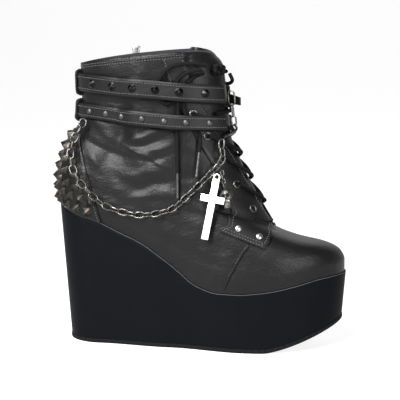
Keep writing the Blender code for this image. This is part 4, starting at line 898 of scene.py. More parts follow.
def round_rod(bm, points, radius, sides=10, closed=False, flat=1.0, outward_at=None):
    """A round or flattened rod along points, with its ends closed."""
    p = np.array([tuple(q) for q in points], float)
    count = len(p)
    if closed:
        ahead = np.roll(p, -1, axis=0) - np.roll(p, 1, axis=0)
    else:
        ahead = np.gradient(p, axis=0)
    ahead /= np.linalg.norm(ahead, axis=1, keepdims=True)
    first = np.array((0.0, 0.0, 1.0)) if abs(ahead[0][2]) < 0.9 else np.array((1.0, 0.0, 0.0))
    normal = np.zeros_like(p)
    for k in range(count):
        base = first if k == 0 else normal[k - 1]
        if outward_at is not None:
            base = outward_at[k]
        base = base - ahead[k] * np.dot(base, ahead[k])
        normal[k] = base / np.linalg.norm(base)
    across = np.cross(ahead, normal)
    turn = np.linspace(0, 2 * math.pi, sides + 1)
    if closed:
        p, normal, across = [np.vstack([a, a[:1]]) for a in (p, normal, across)]
    rings = (
        p[:, None]
        + normal[:, None] * (np.cos(turn) * radius * flat)[None, :, None]
        + across[:, None] * (np.sin(turn) * radius)[None, :, None]
    )
    along = np.concatenate([[0], np.cumsum(np.linalg.norm(np.diff(p, axis=0), axis=1))])
    verts = cloth_grid(bm, rings, along)
    edges = {e for v in verts for e in v.link_edges}
    bmesh.ops.remove_doubles(bm, verts=verts, dist=radius * 0.02)
    if not closed:
        rims = [e for e in edges if e.is_valid and e.is_boundary]
        bmesh.ops.holes_fill(bm, edges=rims, sides=0)


def turned_ring(bm, profile, matrix, steps=28, full=True):
    """A profile of radius and height spun about Z."""
    verts = [bm.verts.new((r, 0, z)) for r, z in profile]
    edges = [bm.edges.new(pair) for pair in zip(verts, verts[1:] + verts[:1] if full else verts[1:])]
    before = set(bm.verts) - set(verts)
    bmesh.ops.spin(
        bm, geom=verts + edges, cent=(0, 0, 0), axis=(0, 0, 1), angle=2 * math.pi, steps=steps, use_merge=True
    )
    made = [v for v in bm.verts if v not in before]
    bmesh.ops.remove_doubles(bm, verts=made, dist=1e-6)
    made = [v for v in bm.verts if v not in before]
    bmesh.ops.recalc_face_normals(bm, faces=list({f for v in made for f in v.link_faces}))
    bmesh.ops.transform(bm, matrix=matrix, verts=made)


def domed(radius, tall, count):
    """The profile of a domed head, a little sunk."""
    arc = [(radius * math.cos(a), tall * math.sin(a)) for a in np.linspace(0, math.pi / 2, count)]
    return [(AXIS, -0.0002), (radius, -0.0002), *arc[:-1], (AXIS, tall)]


def facing(at, normal, upright=Vector((0, 0, 1))):
    """A matrix that turns Z to a normal and Y to the upright, at a place."""
    z = Vector(normal).normalized()
    x = Vector(upright).cross(z).normalized()
    y = z.cross(x)
    turned = Matrix((x, y, z)).transposed().to_4x4()
    turned.translation = Vector(at)
    return turned


def flat_plate(bm, outline, thick, at, across, down, face, bevel=0.0004, segments=2):
    """A plate from an outline of (across, down) lengths with rounded edges."""
    verts = [bm.verts.new(Vector(at) + across * a + down * d - face * thick / 2) for a, d in outline]
    first = bm.faces.new(verts)
    grown = bmesh.ops.extrude_face_region(bm, geom=[first])["geom"]
    moved = [v for v in grown if isinstance(v, bmesh.types.BMVert)]
    bmesh.ops.translate(bm, vec=face * thick, verts=moved)
    faces = {f for v in verts + moved for f in v.link_faces}
    bmesh.ops.recalc_face_normals(bm, faces=list(faces))
    edges = list({e for f in faces for e in f.edges})
    bmesh.ops.bevel(
        bm, geom=edges, offset=bevel, segments=segments, profile=0.5, affect="EDGES", material=-1,
        offset_type="OFFSET", clamp_overlap=True,
    )


def stitches(bm, points, normals, long=0.0019, pitch=0.0027, radius=0.00032):
    """Short threads laid end to end along a line over a face."""
    points, normals = np.asarray(points, float), np.asarray(normals, float)
    along = np.concatenate([[0], np.cumsum(np.linalg.norm(np.diff(points, axis=0), axis=1))])
    for start in np.arange(pitch * 0.3, along[-1] - long, pitch):
        ends = [np.array([np.interp(start + d, along, points[:, k]) for k in range(3)]) for d in (0, long)]
        normal = np.array([np.interp(start + long / 2, along, normals[:, k]) for k in range(3)])
        middle = (ends[0] + ends[1]) / 2
        upright = Vector(ends[1] - ends[0]).cross(Vector(normal)).cross(Vector(normal)) * -1
        turned = facing(middle, normal, upright)
        size = Matrix.Diagonal((radius, long / 2, radius * 0.8, 1))
        bmesh.ops.create_uvsphere(bm, u_segments=6, v_segments=5, radius=1.0, matrix=turned @ size)


def line_on(table, side, out, step=0.0012, shift=0.0):
    """Points and normals along a line of x and z on the upper."""
    line = np.array(table, float)
    at = np.concatenate([[0], np.cumsum(np.linalg.norm(np.diff(line, axis=0), axis=1))])
    share = np.linspace(0, at[-1], max(2, int(at[-1] / step)))
    x, z = np.interp(share, at, line[:, 0]), np.interp(share, at, line[:, 1])
    dx, dz = np.gradient(x), np.gradient(z)
    size = np.hypot(dx, dz)
    x, z = x - dz / size * shift, z + dx / size * shift
    angle, up = locate(x, z, side)
    sides = np.full(x.shape, float(side))
    return skin(angle, up, sides, out), upper_normal(angle, up, sides)


def length(name, about, value):
    return FloatProperty(name=name, description=about, default=value, unit="LENGTH")


class BootSizes(bpy.types.PropertyGroup):
    stitch: length("Stitch", "Length of one stitch", 0.0019)
    stitch_pitch: length("Stitch pitch", "From stitch to stitch", 0.0027)
    thread: length("Thread", "Half the thread's thickness", 0.00034)
    tooth: length("Zip tooth", "From tooth to tooth of the zip", 0.0022)


# Lights: place, target and width in metres; their powers are in the stage's settings
LIGHTS = (
    ("key", (-0.56, -1.02, 0.80), (-0.04, 0, 0.16), 0.50),
    ("high", (-0.28, -0.72, 1.32), (0, 0, 0.14), 0.50),
    ("side", (0.80, -0.95, 0.42), (0, 0, 0.22), 0.30),
)
# The camera's place, its turn to the toe and downwards in degrees, lens in millimetres and shift
CAMERA_PLACE = (0.1219, -0.9060, 0.2426)
CAMERA_TURNS = (8.72, 3.55)
CAMERA_LENS = 85.4
CAMERA_SHIFT = (0.0438, -0.130)
# Half the paper's width, and where it turns up behind the boot
PAPER_HALF = 12.0
PAPER_END = 4.0


def colour(name, about, value):
    return FloatVectorProperty(name=name, description=about, subtype="COLOR", size=3, default=value)


class BootColours(bpy.types.PropertyGroup):
    leather: colour("Leather", "Upper", (0.0026, 0.0026, 0.0029))
    strap: colour("Straps", "Straps, keepers and eyestays", (0.0022, 0.0022, 0.0024))
    cover: colour("Wedge", "Covering of the wedge", (0.0014, 0.0017, 0.0024))
    lining: colour("Lining", "Inside of the shaft", (0.0060, 0.0060, 0.0068))
    lace: colour("Lace", "Braided lace", (0.0012, 0.0012, 0.0012))
    thread: colour("Thread", "Stitches", (0.036, 0.036, 0.037))
    # painted highlight: lighter grey for the rod that stands in for the light on the wedge's rounded top edge
    welt: colour("Edge line", "Line along the feather edge", (0.022, 0.022, 0.024))
    nickel: colour("Nickel", "Eyelets, rivets and zip", (0.34, 0.34, 0.33))
    gunmetal: colour("Antique metal", "Chain, skull and clasp", (0.15, 0.145, 0.135))
    pewter: colour("Pewter", "Studs of the heel", (0.045, 0.041, 0.036))
    black_nickel: colour("Black nickel", "Studs of the upper strap", (0.016, 0.016, 0.017))
    smoke: colour("Smoked metal", "Studs of the lower strap", (0.070, 0.070, 0.068))
    bright: colour("Polished metal", "Cross", (0.95, 0.95, 0.93))


def power(name, about, value):
    return FloatProperty(name=name, description=about, default=value, subtype="POWER")


class StageSettings(bpy.types.PropertyGroup):
    key: power("Key light", "Power of the large light on the heel's side", 44.0)
    high: power("High light", "Power of the light over the camera", 38.0)
    side: power("Side light", "Power of the light on the toe's side", 12.0)
    paper: FloatProperty(name="Paper", description="Glow of the floor and the backdrop", default=0.80)
    world: FloatProperty(name="Surroundings", description="Strength of the pale surroundings", default=0.06)


class BOOT_OT_upper(bpy.types.Operator):
    """Creased leather upper with its lining and the stitches round its collar"""
    bl_idname = "boot.upper"
    bl_label = "Upper"

    def execute(self, context):
        rows, columns = 130, 130
        up = np.linspace(0, 1, rows + 1)[:, None]
        turn = np.linspace(1, -1, 2 * columns + 1)[None, :]
        side = np.where(turn > 0, 1.0, -1.0) + 0 * up
        up = up + 0 * turn
        angle = throat_angle(up, side) * np.abs(turn)
        bm = bmesh.new()
        cloth_grid(bm, skin(angle, up, side), closed=True)
        made = dressed(bm, "upper_skin", ["leather", "lining"], "root", ["upper"], 60)
        solid_wall(made, WALL, -1.0, inner=1)
        size = context.scene.boot_sizes
        bm = bmesh.new()
        for side_value in (-1.0, 1.0):
            angle = np.linspace(0.02, 2.15, 220)
            sides = np.full(angle.shape, side_value)
            for drop in (0.0030, 0.0052):
                top = upper_point(angle, np.ones(angle.shape), sides)[:, 2] - drop
                up = up_at_height(angle, top, sides)
                stitches(bm, skin(angle, up, sides, 0.0001), upper_normal(angle, up, sides),
                         size.stitch, size.stitch_pitch, size.thread)
        dressed(bm, "collar_stitches", "thread", "root")
        return {"FINISHED"}


class BOOT_OT_sole(bpy.types.Operator):
    """Covered wedge, thin rubber outsole and the insole"""
    bl_idname = "boot.sole"
    bl_label = "Sole"

    def execute(self, context):
        columns = 121
        for name, looks, slot, levels in (
            ("wedge_cover", "cover", "wedge_cover", self.wedge_levels(columns)),
            ("outsole_rubber", "rubber", "outsole_rubber", self.outsole_levels(columns)),
        ):
            bm = bmesh.new()
            points = np.array([np.vstack([level[0], level[1][::-1]]) for level in levels])
            verts = cloth_grid(bm, points)
            bmesh.ops.remove_doubles(bm, verts=verts, dist=1e-5)
            rims = [e for e in bm.edges if e.is_boundary]
            bmesh.ops.holes_fill(bm, edges=rims, sides=0)
            bmesh.ops.recalc_face_normals(bm, faces=bm.faces)
            node = "wedge" if slot == "wedge_cover" else "outsole"
            dressed(bm, name, looks, "root", [node], 50)
        # painted highlight: a thin lighter grey rod along the wedge's top edge stands in for the light its rounded
        # edge catches
        rim = plan_outline(WEDGE_MARGIN - 0.0003, 0.0, columns)
        bm = bmesh.new()
        loop = np.vstack([rim[0], rim[1][-2:0:-1]])
        round_rod(bm, loop, 0.00035, 6, closed=True)
        dressed(bm, "edge_line", "welt", "root")
        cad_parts["insole"].data.materials.clear()
        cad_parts["insole"].data.materials.append(look("lining"))
        return {"FINISHED"}

    def wedge_levels(self, columns):
        bottom = floor_outline(OUTSOLE + GAP, 0.0004, columns)
        top = plan_outline(WEDGE_MARGIN, 0.0, columns)
        top[:, :, 2] -= CURVE_GAP
        levels = []
        for share in np.linspace(0, 1, 25) ** 0.9:
            level = bottom + (top - bottom) * min(share, 0.9935)
            levels.append(level)
        for inset, drop in ((0.0001, 0.0004), (0.0004, 0.0001), (0.0009, 0.0), (0.0020, 0.0002)):
            level = plan_outline(WEDGE_MARGIN - inset, 0.0, columns)
            level[:, :, 2] -= CURVE_GAP + drop
            levels.append(level)
        return levels

    def outsole_levels(self, columns):
        return [
            floor_outline(height, out, columns)
            for height, out in (
                (0.0, 0.0009), (0.0002, 0.0003), (0.0008, 0.0),
                (OUTSOLE - 0.0008, 0.0), (OUTSOLE - 0.0002, 0.0002), (OUTSOLE, 0.0008),
            )
        ]


class BOOT_OT_tongue(bpy.types.Operator):
    """Padded tongue with a stitched rim"""
    bl_idname = "boot.tongue"
    bl_label = "Tongue"

    def execute(self, context):
        rows, columns = 90, 60
        place = np.concatenate([
            np.linspace(TONGUE[0][0], 0.95, rows - 20, endpoint=False), np.linspace(0.95, TONGUE[-1][0], 20),
        ])[:, None]
        turn = np.linspace(-1, 1, columns + 1)[None, :]
        side = np.where(turn > 0, 1.0, -1.0) + 0 * place
        up = np.minimum(place, 1.0) + 0 * turn
        half = BALL_HALF * through(TONGUE, place)
        edge = angle_at_half_width(half + 0 * turn, up, side)
        angle = math.pi - (math.pi - edge) * np.abs(turn)
        deep = WALL * through(TONGUE, place, 2)
        gap_half = BALL_HALF * through(THROAT, up)
        centre = upper_point(np.full(up.shape, math.pi), up, side)[..., 1]
        across = np.abs(upper_point(angle, up, side)[..., 1] - centre)
        puff = (WALL + TONGUE_PUFF) * np.clip(1 - (across / np.maximum(gap_half, 1e-6)) ** 2, 0, 1)
        rim = 0.0008 * np.exp(-(((np.abs(turn) - 0.86) / 0.035) ** 2))
        rim = rim + 0.0008 * np.exp(-(((place - 0.990) / 0.003) ** 2))
        soft = 0.0003 * np.sin(place * 60) * np.cos(turn * 5) * smooth((place - 0.6) / 0.1)
        out = puff * smooth((place - 0.55) / 0.1) - deep - rim + soft
        points = off_upper(angle, up, side, out, np.maximum(place - 1, 0))
        bm = bmesh.new()
        cloth_grid(bm, points, closed=True)
        made = dressed(bm, "tongue_pad", ["leather", "lining"], "root", ["tongue"], 60)
        solid_wall(made, TONGUE_THICK, -1.0, 0.0012, 3, inner=1)
        return {"FINISHED"}


class BOOT_OT_overlays(bpy.types.Operator):
    """Eyestays, heel counter, vamp seams and their stitches"""
    bl_idname = "boot.overlays"
    bl_label = "Overlays"

    def execute(self, context):
        size = context.scene.boot_sizes
        threads, dark_threads = bmesh.new(), bmesh.new()
        for word, side_value in (("outer", -1.0), ("inner", 1.0)):
            self.eyestay(word, side_value, threads, size)
            angle, up, side = along_line(VAMP_SEAM, SEAM_WIDTH, 40, side_value)
            overlay(
                "vamp_piping_" + word, angle, up, side, SEAM_THICK, "leather",
                ["vamp_seam_" + word], bevel=0.0003,
            )
            for shift in (-0.0022, 0.0024):
                line, normals = line_on(VAMP_SEAM, side_value, 0.0001, shift=shift)
                stitches(dark_threads, line, normals, size.stitch, size.stitch_pitch, size.thread * 0.8)
        self.counter(threads, size)
        dressed(threads, "overlay_stitches", "thread", "root")
        dressed(dark_threads, "vamp_stitches", "lining", "root")
        return {"FINISHED"}

    def eyestay(self, word, side_value, threads, size):
        rows, columns = 110, 24
        across = np.linspace(0, 1, columns + 1)
        rear_angle, rear_up = locate(*np.array(EYESTAY_REAR).T)
        front_angle, front_up = locate(*np.array(EYESTAY_FRONT).T)
        low_angle, low_up = locate(*np.array(EYESTAY_BOTTOM).T)
        low_angle = np.interp(across, np.linspace(0, 1, len(low_angle)), low_angle)
        low_up = np.interp(across, np.linspace(0, 1, len(low_up)), low_up)
        up = low_up + (rear_up[-1] - low_up) * np.linspace(0, 1, rows + 1)[:, None]
        side = np.full(up.shape, side_value)
        rear = np.interp(up, rear_up, rear_angle)
        along_vamp = np.interp(up, front_up, front_angle)
        front = np.where(up > front_up[-1], throat_angle(np.maximum(up, front_up[-1]), side), along_vamp)
        edge = rear + (front - rear) * across
        closing = smooth((up - low_up) / 0.06)
        angle = low_angle + (edge - low_angle) * closing
        overlay(
            "eyestay_leather_" + word, angle, up, side, EYESTAY_THICK, "shaft",
            ["eyestay_" + word], out=EYESTAY_OUT, bevel=STRAP_EDGE,
        )
        top = EYESTAY_OUT + EYESTAY_THICK + 0.0001
        for column in (2, 22):
            line = skin(angle[3:, column], up[3:, column], side[3:, column], top)
            stitches(threads, line, upper_normal(angle[3:, column], up[3:, column], side[3:, column]),
                     size.stitch, size.stitch_pitch, size.thread)
        for row in (3, 6):
            line = skin(angle[row, 1:-1], up[row, 1:-1], side[row, 1:-1], top)
            stitches(threads, line, upper_normal(angle[row, 1:-1], up[row, 1:-1], side[row, 1:-1]),
                     size.stitch, size.stitch_pitch, size.thread)

    def counter(self, threads, size):
        rows, columns = 50, 60
        place = np.linspace(0, 1, rows + 1)[:, None]
        turn = np.linspace(1, -1, columns + 1)[None, :]
        side = np.where(turn > 0, 1.0, -1.0) + 0 * place
        top = float(up_at_height(0.0, COUNTER_TOP, -1.0))
        up = COUNTER_LOW + (top - COUNTER_LOW) * place + 0 * turn
        angle = np.full(up.shape, 0.5)
        for _ in range(4):
            edge = angle_at_x(counter_edge(upper_point(angle, up, side)[..., 2]), up)
            angle = edge.max(axis=1, keepdims=True) * np.ones_like(up)
        angle = angle * np.abs(turn)
        overlay("counter_leather", angle, up, side, COUNTER_THICK, "leather", ["heel_counter"])
        for column in (1, columns - 1):
            line = skin(angle[:, column], up[:, column], side[:, column], CURVE_GAP + COUNTER_THICK)
            stitches(threads, line, upper_normal(angle[:, column], up[:, column], side[:, column]),
                     size.stitch, size.stitch_pitch, size.thread)
        bm = bmesh.new()
        for angle_k, up_k, side_k in stud_places():
            at = skin(angle_k, up_k, side_k, CURVE_GAP + COUNTER_THICK)
            normal = upper_normal(np.asarray(angle_k), np.asarray(up_k), np.asarray(side_k))
            turned = facing(at, normal) @ Matrix.Rotation(math.pi / 4, 4, "Z")
            reach = STUD_BASE / math.sqrt(2)
            made = bmesh.ops.create_cone(
                bm, cap_ends=True, segments=4, radius1=reach, radius2=reach * 0.05, depth=STUD_HEIGHT,
                matrix=turned @ Matrix.Translation((0, 0, STUD_HEIGHT / 2)),
            )["verts"]
            edges = list({e for v in made for e in v.link_edges})
            bmesh.ops.bevel(
                bm, geom=edges, offset=STUD_EDGE, segments=2, profile=0.5, affect="EDGES", material=-1
            )
            bmesh.ops.create_cone(
                bm, cap_ends=True, segments=4, radius1=reach, radius2=reach * 0.97, depth=0.0006,
                matrix=turned @ Matrix.Translation((0, 0, -0.0001)),
            )
        dressed(bm, "heel_studs", "pewter", "root", smooth_below=20)


class BOOT_OT_straps(bpy.types.Operator):
    """Both ankle straps with their studs, the loops on the back seam and the loose tip"""
    bl_idname = "boot.straps"
    bl_label = "Straps"

    def execute(self, context):
        size = context.scene.boot_sizes
        threads, upper_studs, lower_studs = bmesh.new(), bmesh.new(), bmesh.new()
        for word, centre, width, last_x, places in (
            ("upper", UPPER_STRAP, UPPER_STRAP_WIDTH, UPPER_STRAP_REACH, UPPER_STRAP_STUDS),
            ("lower", LOWER_STRAP, LOWER_STRAP_WIDTH, LOWER_STRAP_REACH, LOWER_STRAP_STUDS),
        ):
            angle, up, side = strap_grid(centre, width, last_x, 14, 200)
            rim = np.linspace(-1, 1, 15)[:, None]
            raised = 0.00012 * np.exp(-(((np.abs(rim) - 0.86) / 0.10) ** 2))
            raised = raised - 0.0004 * smooth((np.abs(rim) - 0.93) / 0.07)
            inner = off_upper(angle, up, side, strap_out(angle))
            bm = bmesh.new()
            cloth_grid(bm, inner + upper_normal(angle, up, side) * raised[..., None])
            made = dressed(bm, "strap_leather_" + word, "shaft", "root", ["strap_" + word], 50)
            solid_wall(made, STRAP_THICK, 1.0, STRAP_EDGE)
            for row in (2, 12):
                line = off_upper(angle[row], up[row], side[row], strap_out(angle[row]) + STRAP_THICK + 0.0002)
                stitches(threads, line, upper_normal(angle[row], up[row], side[row]),
                         size.stitch, size.stitch_pitch, size.thread)
            for x in places:
                for side_k in (-1.0, 1.0):
                    angle_k, up_k = locate(x, float(through(centre, x)), side_k)
                    at = off_upper(angle_k, up_k, side_k, strap_out(angle_k) + STRAP_THICK)
                    matrix = facing(at, upper_normal(angle_k, up_k, np.asarray(side_k)))
                    if word == "upper":
                        self.cone(upper_studs, matrix)
                    else:
                        self.dome(lower_studs, matrix)
            self.keeper(word, centre, width)
        dressed(threads, "strap_stitches", "thread", "root")
        dressed(upper_studs, "strap_cones", "black nickel", "root", smooth_below=50)
        dressed(lower_studs, "strap_domes", "smoke", "root", smooth_below=60)
        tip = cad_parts["strap_tip"]
        tip.data.materials.clear()
        tip.data.materials.append(look("shaft"))
        return {"FINISHED"}

    def cone(self, bm, matrix):
        r, h = CONE_RADIUS, CONE_HEIGHT
        profile = [
            (AXIS, 0), (r, 0), (r, 0.0004), (r * 0.80, 0.0008),
            (r * 0.30, h * 0.84), (r * 0.16, h * 0.95), (AXIS, h),
        ]
        turned_ring(bm, profile, matrix, 20, False)

    def dome(self, bm, matrix):
        turned_ring(bm, domed(DOME_RADIUS, 0.0017, 6), matrix, 18, False)

    def keeper(self, word, centre, width):
        rows, columns = 40, 14
        z_mid = float(through(centre, -BEHIND_ORIGIN))
        half = width / 2 + 0.0050
        t = np.linspace(-1, 1, rows + 1)[:, None]
        z = z_mid + t * half
        bulge = STRAP_OUT + STRAP_THICK + 0.0006
        arch = np.sqrt(np.clip(1 - np.abs(t) ** 6, 0, 1)) * smooth((1 - np.abs(t)) / 0.22)
        out = CURVE_GAP + (bulge - CURVE_GAP) * arch
        turn = np.linspace(1, -1, columns * 2 + 1)[None, :]
        side = np.where(turn > 0, 1.0, -1.0) + 0 * t
        angle = 0.24 * np.abs(turn) + 0 * t
        up = up_at_height(angle, z + 0 * turn, side)
        bm = bmesh.new()
        cloth_grid(bm, off_upper(angle, up, side, out + 0 * turn), closed=True)
        made = dressed(bm, "keeper_leather_" + word, "shaft", "root", ["keeper_" + word], 60)
        solid_wall(made, KEEPER_THICK, 1.0, 0.0006)


class BOOT_OT_eyelets(bpy.types.Operator):
    """Nickel eyelets with a near-black disc of painted shade in each hole, and the rivets of the eyestays"""
    bl_idname = "boot.eyelets"
    bl_label = "Eyelets"

    def execute(self, context):
        rims, holes, rivets = bmesh.new(), bmesh.new(), bmesh.new()
        low = EYESTAY_THICK + 0.0008
        for side_value in (-1.0, 1.0):
            for x, z in EYELETS:
                angle, up = locate(x, z, side_value)
                at = skin(angle, up, np.asarray(side_value), low)
                matrix = facing(at, upper_normal(angle, up, np.asarray(side_value)))
                middle, wide = (EYELET_RADIUS + EYELET_HOLE) / 2, (EYELET_RADIUS - EYELET_HOLE) / 2
                profile = [
                    (middle + wide * math.cos(a), 0.0001 + EYELET_THICK * max(0.0, math.sin(a)))
                    for a in np.linspace(0, math.pi, 9)
                ]
                profile += [(EYELET_HOLE, -0.0010), (EYELET_RADIUS * 0.96, -0.0004)]
                turned_ring(rims, profile, matrix, 28)
                # painted shade: a near-black disc just inside each eyelet hole stands in for the shade down the
                # hole
                bmesh.ops.create_circle(holes, cap_ends=True, segments=24, radius=EYELET_HOLE * 1.02,
                                        matrix=matrix @ Matrix.Translation((0, 0, -0.0003)))
            for x, z in RIVETS:
                angle, up = locate(x, z, side_value)
                at = skin(angle, up, np.asarray(side_value), low - 0.0002)
                matrix = facing(at, upper_normal(angle, up, np.asarray(side_value)))
                turned_ring(rivets, domed(RIVET_RADIUS, 0.0016, 7), matrix, 24, False)
        words = [f"{word}_{k + 1}" for word in ("outer", "inner") for k in range(len(EYELETS))]
        dressed(rims, "eyelet_rims", "gunmetal", "root", ["eyelet_" + w for w in words], 60)
        dressed(holes, "eyelet_hollows", "dark", "root")
        words = [f"{word}_{k + 1}" for word in ("outer", "inner") for k in range(len(RIVETS))]
        dressed(rivets, "rivet_heads", "nickel", "root", ["rivet_" + w for w in words], 60)
        return {"FINISHED"}


class BOOT_OT_lace(bpy.types.Operator):
    """Braided lace: crossings, knot, loops and the two hanging ends with their tips"""
    bl_idname = "boot.lace"
    bl_label = "Lace"

    def execute(self, context):
        self.crossings()
        tips = {}
        for name in ("lace_end_outer", "lace_end_inner"):
            line = routed(LACE_CORDS[name], LACE_RADIUS * 4.5)
            along = Vector(line[-1] - line[-2]).normalized()
            start = Vector(line[-1]) + along * GAP
            bm = bmesh.new()
            share = np.linspace(0, 1, 24)
            round_rod(bm, [start + along * TIP_LENGTH * t for t in share], TIP_RADIUS, 14)
            node = name.replace("end", "tip")
            tips[name] = dressed(bm, node + "_sleeve", "smoke", "root", [node], 40)
        for name, route in LACE_CORDS.items():
            line = routed(route, 0.0015)
            if name in tips:
                coarse = routed(route, LACE_RADIUS * 4.5)
                line[-1] = coarse[-1]
            bm = bmesh.new()
            round_rod(bm, line, LACE_RADIUS, 14)
            made = dressed(bm, name + "_braid", "lace", "root", [name], 60)
            length = float(np.linalg.norm(np.diff(line, axis=0), axis=1).sum())
            if length > 0.03:
                "fitting" if name in tips else "knot"
                [tips[name]] if name in tips else []
        self.knot()
        return {"FINISHED"}

    def crossings(self):
        over_eyelet = EYESTAY_THICK + 4 * CURVE_GAP + EYELET_THICK + LACE_RADIUS
        for k in range(len(EYELETS) - 1):
            bm = bmesh.new()
            for start_side in (-1.0, 1.0):
                a0, u0 = locate(*EYELETS[k], start_side)
                a1, u1 = locate(*EYELETS[k + 1], -start_side)
                reach = 2 * math.pi - a0 - a1
                low_edge = math.pi - throat_angle(u0, np.asarray(start_side)) - LACE_TUCK
                high_edge = math.pi - throat_angle(u1, np.asarray(-start_side)) - LACE_TUCK
                first = (math.pi - a0 - low_edge) / reach
                last = 1.0 if k < len(EYELETS) - 2 else (math.pi - a0 + high_edge) / reach
                points = []
                for t in np.linspace(first, last, 50):
                    signed = reach * t - (math.pi - a0)
                    side = start_side if signed < 0 else -start_side
                    rise = max(0.0, 2 * t - 1) ** 1.3 if k < len(EYELETS) - 2 else 0.0
                    lift = LACE_OVER_TONGUE + (over_eyelet - LACE_OVER_TONGUE) * rise
                    if start_side > 0:
                        lift += 0.0010 * math.exp(-((signed / 0.16) ** 2))
                    points.append(off_upper(math.pi - abs(signed), u0 + (u1 - u0) * t, side, lift))
                round_rod(bm, points, LACE_RADIUS, 14)
            dressed(bm, f"lace_cross_{k + 1}", "lace", "root", [f"lace_crossing_{k + 1}"], 60)

    def knot(self):
        x, z, out, side = KNOT
        angle, up = locate(x, z, side)
        matrix = facing(outside(x, z, out, side), upper_normal(angle, up, np.asarray(side)))
        bm = bmesh.new()
        for tilt, wide, tall in ((0.35, 0.0062, 0.0030), (-0.45, 0.0058, 0.0028), (1.35, 0.0042, 0.0024)):
            turned = matrix @ Matrix.Rotation(tilt, 4, "Z")
            ring = [
                turned @ Vector((wide * math.cos(a), tall * math.sin(a), 0.0022 * math.cos(2 * a + tilt)))
                for a in np.linspace(0, 2 * math.pi, 36, endpoint=False)
            ]
            round_rod(bm, ring, LACE_RADIUS, 12, closed=True)
        dressed(bm, "lace_knot_braid", "lace", "root", ["lace_knot"], 60)


def link_ring(bm, centre, ahead, outward_to, roll, size):
    """One link, turned about the chain's line by roll."""
    length, width, wire = size
    x = Vector(ahead).normalized()
    z = (Vector(outward_to) - x * Vector(outward_to).dot(x)).normalized()
    y = z.cross(x)
    y, z = y * math.cos(roll) + z * math.sin(roll), z * math.cos(roll) - y * math.sin(roll)
    points = [Vector(centre) + x * p.x + y * p.y + z * p.z for p in link_points(length, width, wire, 26)]
    round_rod(bm, points, wire / 2, 10, closed=True)


def links_along(bm, line, size, tilt=0.55):
    length, _, wire = size
    along = np.concatenate([[0], np.cumsum(np.linalg.norm(np.diff(line, axis=0), axis=1))])
    count = int((along[-1] - length) / (length - 2 * wire + 0.0002)) + 1
    at = np.linspace(length / 2, along[-1] - length / 2, count)

    def read(distance):
        distance = np.clip(distance, 0, along[-1])
        return np.stack([np.interp(distance, along, line[:, k]) for k in range(3)], axis=1)

    centre = read(at)
    ahead = read(at + length / 3) - read(at - length / 3)
    for k in range(count):
        outward_to = (centre[k][0] * 0.12 - 0.2 * (centre[k][0] < -0.1), -1.0, 0.15)
        link_ring(bm, centre[k], ahead[k], outward_to, tilt + math.pi / 2 * (k % 2), size)


